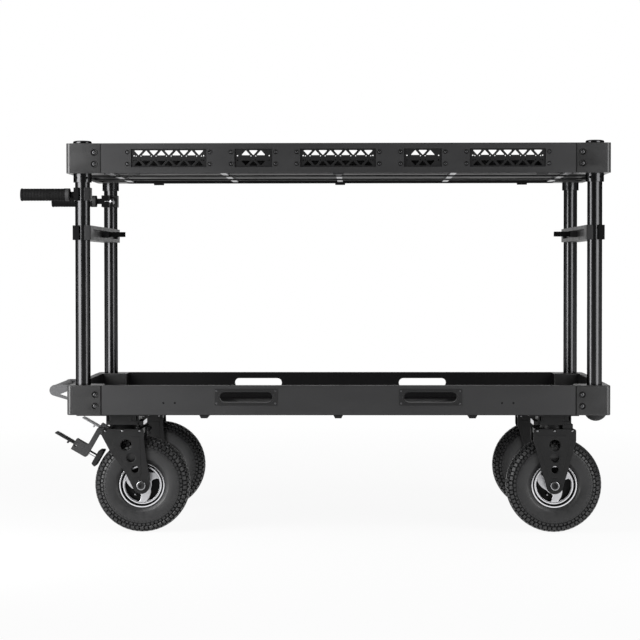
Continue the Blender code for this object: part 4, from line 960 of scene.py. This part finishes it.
def make_wheel(end, side, corner):
    """Make a wheel about its own centre: tyre, black barrel and hub, polished face and lips."""
    body = f"wheel_{corner}"
    x = end * CASTER_X + TRAIL[end]
    origin = (x, side * CASTER_Y, AXLE_Z)
    tyre = f"caster_tyre_{corner}"
    # The carcass beyond TREAD_START takes painted shade where it shows between the tread blocks.
    second_look(stand_in(tyre, [carcass()], TYRE, body, origin, 40), TREAD_GAP_PAINTED_SHADE,
                lambda at, normal: hypot(at.x - x, at.z - AXLE_Z) > TREAD_START)
    piece(f"tyre_tread_{corner}", tread(), TYRE, body, [tyre], origin, 40)
    half = [(0.0577, 0.0300), (0.0546, 0.0300), (0.0536, 0.0235), (0.0502, 0.0198),
            (0.0462, 0.0180)]
    half_hub = [(0.0066, -0.0446), (0.0125, -0.0446), (0.0150, -0.0425), (0.0155, -0.0300),
                (0.0200, -0.0100)]
    dark = [lathe([*loop, *facing_side(reversed(loop), -1)], "Y", 0, 0, sides, True)
            for loop, sides in ((half, 72), (half_hub, 36))]
    web = prism(circle(0, 0, 0.0460, 64), (-0.0030, 0.0030), "Y", [circle(0, 0, 0.015, 24)])
    rim = f"caster_rim_{corner}"
    stand_in(rim, [*dark, web], RIM_BLACK, body, origin)
    windows = [spoke_window(index, side) for index in range(3)]
    face = prism(circle(0, 0, 0.0462, 72), layer(side, 0.0, -0.0105, 0.0195), "Y", windows,
                 0.0012, 3)
    piece(f"rim_face_{corner}", [face], RIM_SATIN, body, [rim], origin)
    piece(f"rim_lips_{corner}", rim_lips(side), RIM_BRIGHT, body, [rim], origin)
    stem = [(0.0030, 0.004), (0.0030, 0.020), (0.0024, 0.0205), (0.0024, 0.0262), (0.0018, 0.0270)]
    angle, out = radians(235), 0.031
    valve = lathe(facing_side(stem, side), "Y", out * cos(angle), out * sin(angle), 20)
    piece(f"valve_{corner}", [valve], STEEL, body, (), origin)


def make_axle(end, side, corner):
    """Make an axle with its two heads and the bright rims on them."""
    carrier = f"fork_{corner}" if end < 0 else "root"
    origin = (end * CASTER_X + TRAIL[end], side * CASTER_Y, AXLE_Z)
    seat = 0.0503
    bolts = [screw((0, way * seat, 0), (0, way, 0), 0.0113, 0.0058, 0.55, 24) for way in (-1, 1)]
    bolts.append(lathe([(0.006, -seat), (0.006, seat)], "Y", 0, 0, 24))
    stand_in(f"caster_axle_{corner}", bolts, JAW, carrier, origin)
    ring = [(0.0088, 0.0558), (0.0091, 0.0563), (0.0104, 0.0563), (0.0112, 0.0556)]
    rims = [lathe(facing_side(ring, way), "Y", 0, 0, 32, True) for way in (-1, 1)]
    piece(f"axle_rims_{corner}", rims, STEEL, carrier, (), origin)


# Brakes
def brake_point(out, rise):
    """Return the place of a brake point, given out from the axle and across the brake's line."""
    return (-CASTER_X + TRAIL[-1] - out * cos(BRAKE_TILT) + rise * sin(BRAKE_TILT),
            AXLE_Z + out * sin(BRAKE_TILT) + rise * cos(BRAKE_TILT))


def brake_bar(rise, radius, y):
    """Return a round rod from the pad to its housing, along the brake's line."""
    near, far = (Vector(on_axis("Y", *brake_point(out, rise), y)) for out in (0.1375, 0.1672))
    rod = lathe([(radius, 0.0), (radius, (far - near).length)], "Z", 0, 0, 20)
    return stood(rod, near, (far - near).normalized())


def thin_pedal(pedal):
    """Lower the upper face of a pedal's tread."""
    up = Vector((sin(BRAKE_TILT), 0, cos(BRAKE_TILT)))
    outwards = Vector((-cos(BRAKE_TILT), 0, sin(BRAKE_TILT)))
    axle = Vector((SHIFT - CASTER_X + TRAIL[-1], 0, AXLE_Z))
    for vertex in pedal.data.vertices:
        place = vertex.co - axle
        if place.dot(outwards) > PEDAL_START and place.dot(up) > 0.0055:
            vertex.co -= up * 0.0016


def make_brake(side):
    """Make one brake: dressed arm and pedal, pad, rods and tread teeth."""
    name = f"{SIDES[side]}_left"
    y = side * CASTER_Y
    # The pedal and its teeth take a painted tone: painted shade in front, painted light at the
    # back.
    look = PEDAL_PAINTED_SHADE if side < 0 else PEDAL_PAINTED_LIGHT
    dressed(f"brake_arm_{name}", BRAKE, 0.0007)
    thin_pedal(dressed(f"brake_pedal_{name}", look, 0.0003))
    corners = [(0.1272, -0.022, 0.003), (0.1397, -0.018, 0.004), (0.1397, 0.021, 0.004),
               (0.1272, 0.028, 0.003)]
    outline = rounded([(*brake_point(out, rise), radius) for out, rise, radius in corners])
    pad = prism(outline, about(y, 0.030), "Y", [], 0.0014)
    body = f"shoe_{name}"
    shoe = f"brake_shoe_{name}"
    stand_in(shoe, [pad], PAD, body)
    for kind, rise, radius, metal in (("rod", 0.0050, 0.0024, CASTER_DARK),
                                      ("guide", -0.0025, 0.0014, BRIGHT)):
        bar = brake_bar(rise, radius, y)
        piece(f"brake_{kind}_{name}", [bar], metal, body, [shoe])
    teeth = []
    for step in range(10):
        out = 0.2128 + step * 0.0045
        corners = ((-0.0012, 0.0047), (0.0012, 0.0047), (0.0007, 0.0061), (-0.0007, 0.0061))
        ring = [brake_point(out + along, rise) for along, rise in corners]
        teeth += [prism(ring, about(y + across * 0.0058, 0.0019), "Y") for across in range(-4, 5)]
    piece(f"pedal_teeth_{name}", teeth, look, f"pedal_{name}")


# Stage, light and camera
def make_stage():
    """Make the pale floor, the world and the studio lights."""
    mesh = bpy.data.meshes.new("floor")
    far = 30
    corners = [(-far, -far, 0), (far, -far, 0), (far, far, 0), (-far, far, 0)]
    mesh.from_pydata(corners, [], [(0, 1, 2, 3)])
    floor = added("floor", mesh)
    mesh.materials.append(floor_look())
    light_world()
    add_light("left", (-1.25, -1.0, 0.9), (-0.35, -0.1, 0.65), 0.75, 1.7, 29.0)
    add_light("right", (1.42, -1.2, 0.9), (0.45, -0.1, 0.6), 0.75, 1.7, 16.0)
    add_light("top", (0.0, -0.3, 2.8), (0.0, 0.0, 0.5), 2.6, 1.4, 9.0)


def floor_look():
    """Return the floor: pale matte that still takes a shadow, and pure white further away."""
    pale = bpy.data.materials.new("floor_pale")
    pale.use_nodes = True
    tree = pale.node_tree
    tree.nodes.clear()
    place = node(tree, "TexCoord", {}).outputs["Object"]
    rays = node(tree, "LightPath", {}).outputs
    share = spread(tree, length(tree, place), 0.9, 3.5, 0.93, 1.0)
    ahead = spread(tree, split(tree, place)["Y"], -3.6, -2.2, 0.0, 1.0)
    white = maths(tree, "MAXIMUM", ahead, rays["Is Camera Ray"])
    seen = maths(tree, "MULTIPLY", white, maths(tree, "MULTIPLY", seen_directly(tree), share))
    matte = node(tree, "BsdfDiffuse", {"Color": (0.86, 0.86, 0.86, 1)})
    glow = node(tree, "Emission", {"Color": (1, 1, 1, 1)})
    mix = node(tree, "MixShader", {"Fac": seen, 1: matte.outputs["BSDF"],
                                   2: glow.outputs["Emission"]})
    node(tree, "OutputMaterial", {"Surface": mix.outputs["Shader"]})
    return pale


def light_world():
    """Light the world softly, with a white backdrop behind the cart that its gloss mirrors too."""
    world = bpy.data.worlds.new("studio")
    bpy.context.scene.world = world
    world.use_nodes = True
    tree = world.node_tree
    back = tree.nodes["Background"]
    back.inputs["Color"].default_value = (1, 1, 1, 1)
    place = node(tree, "TexCoord", {}).outputs["Generated"]
    rays = node(tree, "LightPath", {}).outputs
    behind = spread(tree, split(tree, place)["Y"], 0.90, 0.985, 0.04, 1.0)
    white = maths(tree, "MAXIMUM", behind, rays["Is Camera Ray"])
    strength = node(tree, "Mix", {"Factor": seen_directly(tree), "A": 0.2, "B": white})
    tree.links.new(strength.outputs["Result"], back.inputs["Strength"])


def seen_directly(tree):
    """Return 1 for rays from the camera, or off gloss and through glass, and 0 for others."""
    rays = node(tree, "LightPath", {}).outputs
    near = maths(tree, "MAXIMUM", rays["Is Camera Ray"], rays["Is Glossy Ray"])
    return maths(tree, "MAXIMUM", near, rays["Is Transmission Ray"])


def add_light(name, place, target, wide, tall, power):
    """Add one soft box that faces a target."""
    data = bpy.data.lights.new(name, "AREA")
    data.shape = "RECTANGLE"
    data.size = wide
    data.size_y = tall
    data.energy = power
    lamp = added(name, data)
    lamp.location = place
    lamp.visible_camera = False
    lamp.rotation_euler = (Vector(target) - Vector(place)).to_track_quat("-Z", "Y").to_euler()


def make_camera():
    """Set the camera at the photograph's place and angle."""
    yaw, pitch, roll = (radians(value) for value in (0.977, 1.405, -0.049))
    data = bpy.data.cameras.new("camera")
    data.sensor_width = 36.0
    data.lens = 123.1
    data.clip_end = 100.0
    camera = added("camera", data)
    camera.matrix_world = (Matrix.Translation((0.1110, -5.8875, 0.681))
                           @ Matrix.Rotation(yaw, 4, "Z")
                           @ Matrix.Rotation(pi / 2 - pitch, 4, "X")
                           @ Matrix.Rotation(roll, 4, "Z"))
    bpy.context.scene.camera = camera


make_upper_rails()
make_mesh_panels()
make_rail_screws()
make_lower_rails()
make_blocks()
make_floors()
make_posts()
make_feet()
dressed("end_bumper", BUMPER, 0.001)
make_handles()
make_crossbars()
make_brackets()
for end, side, corner in CORNERS:
    make_fork(end, side, corner)
    make_wheel(end, side, corner)
    make_axle(end, side, corner)
for side in SIDES:
    make_brake(side)
make_stage()
make_camera()
bpy.context.scene.view_settings.view_transform = "Standard"
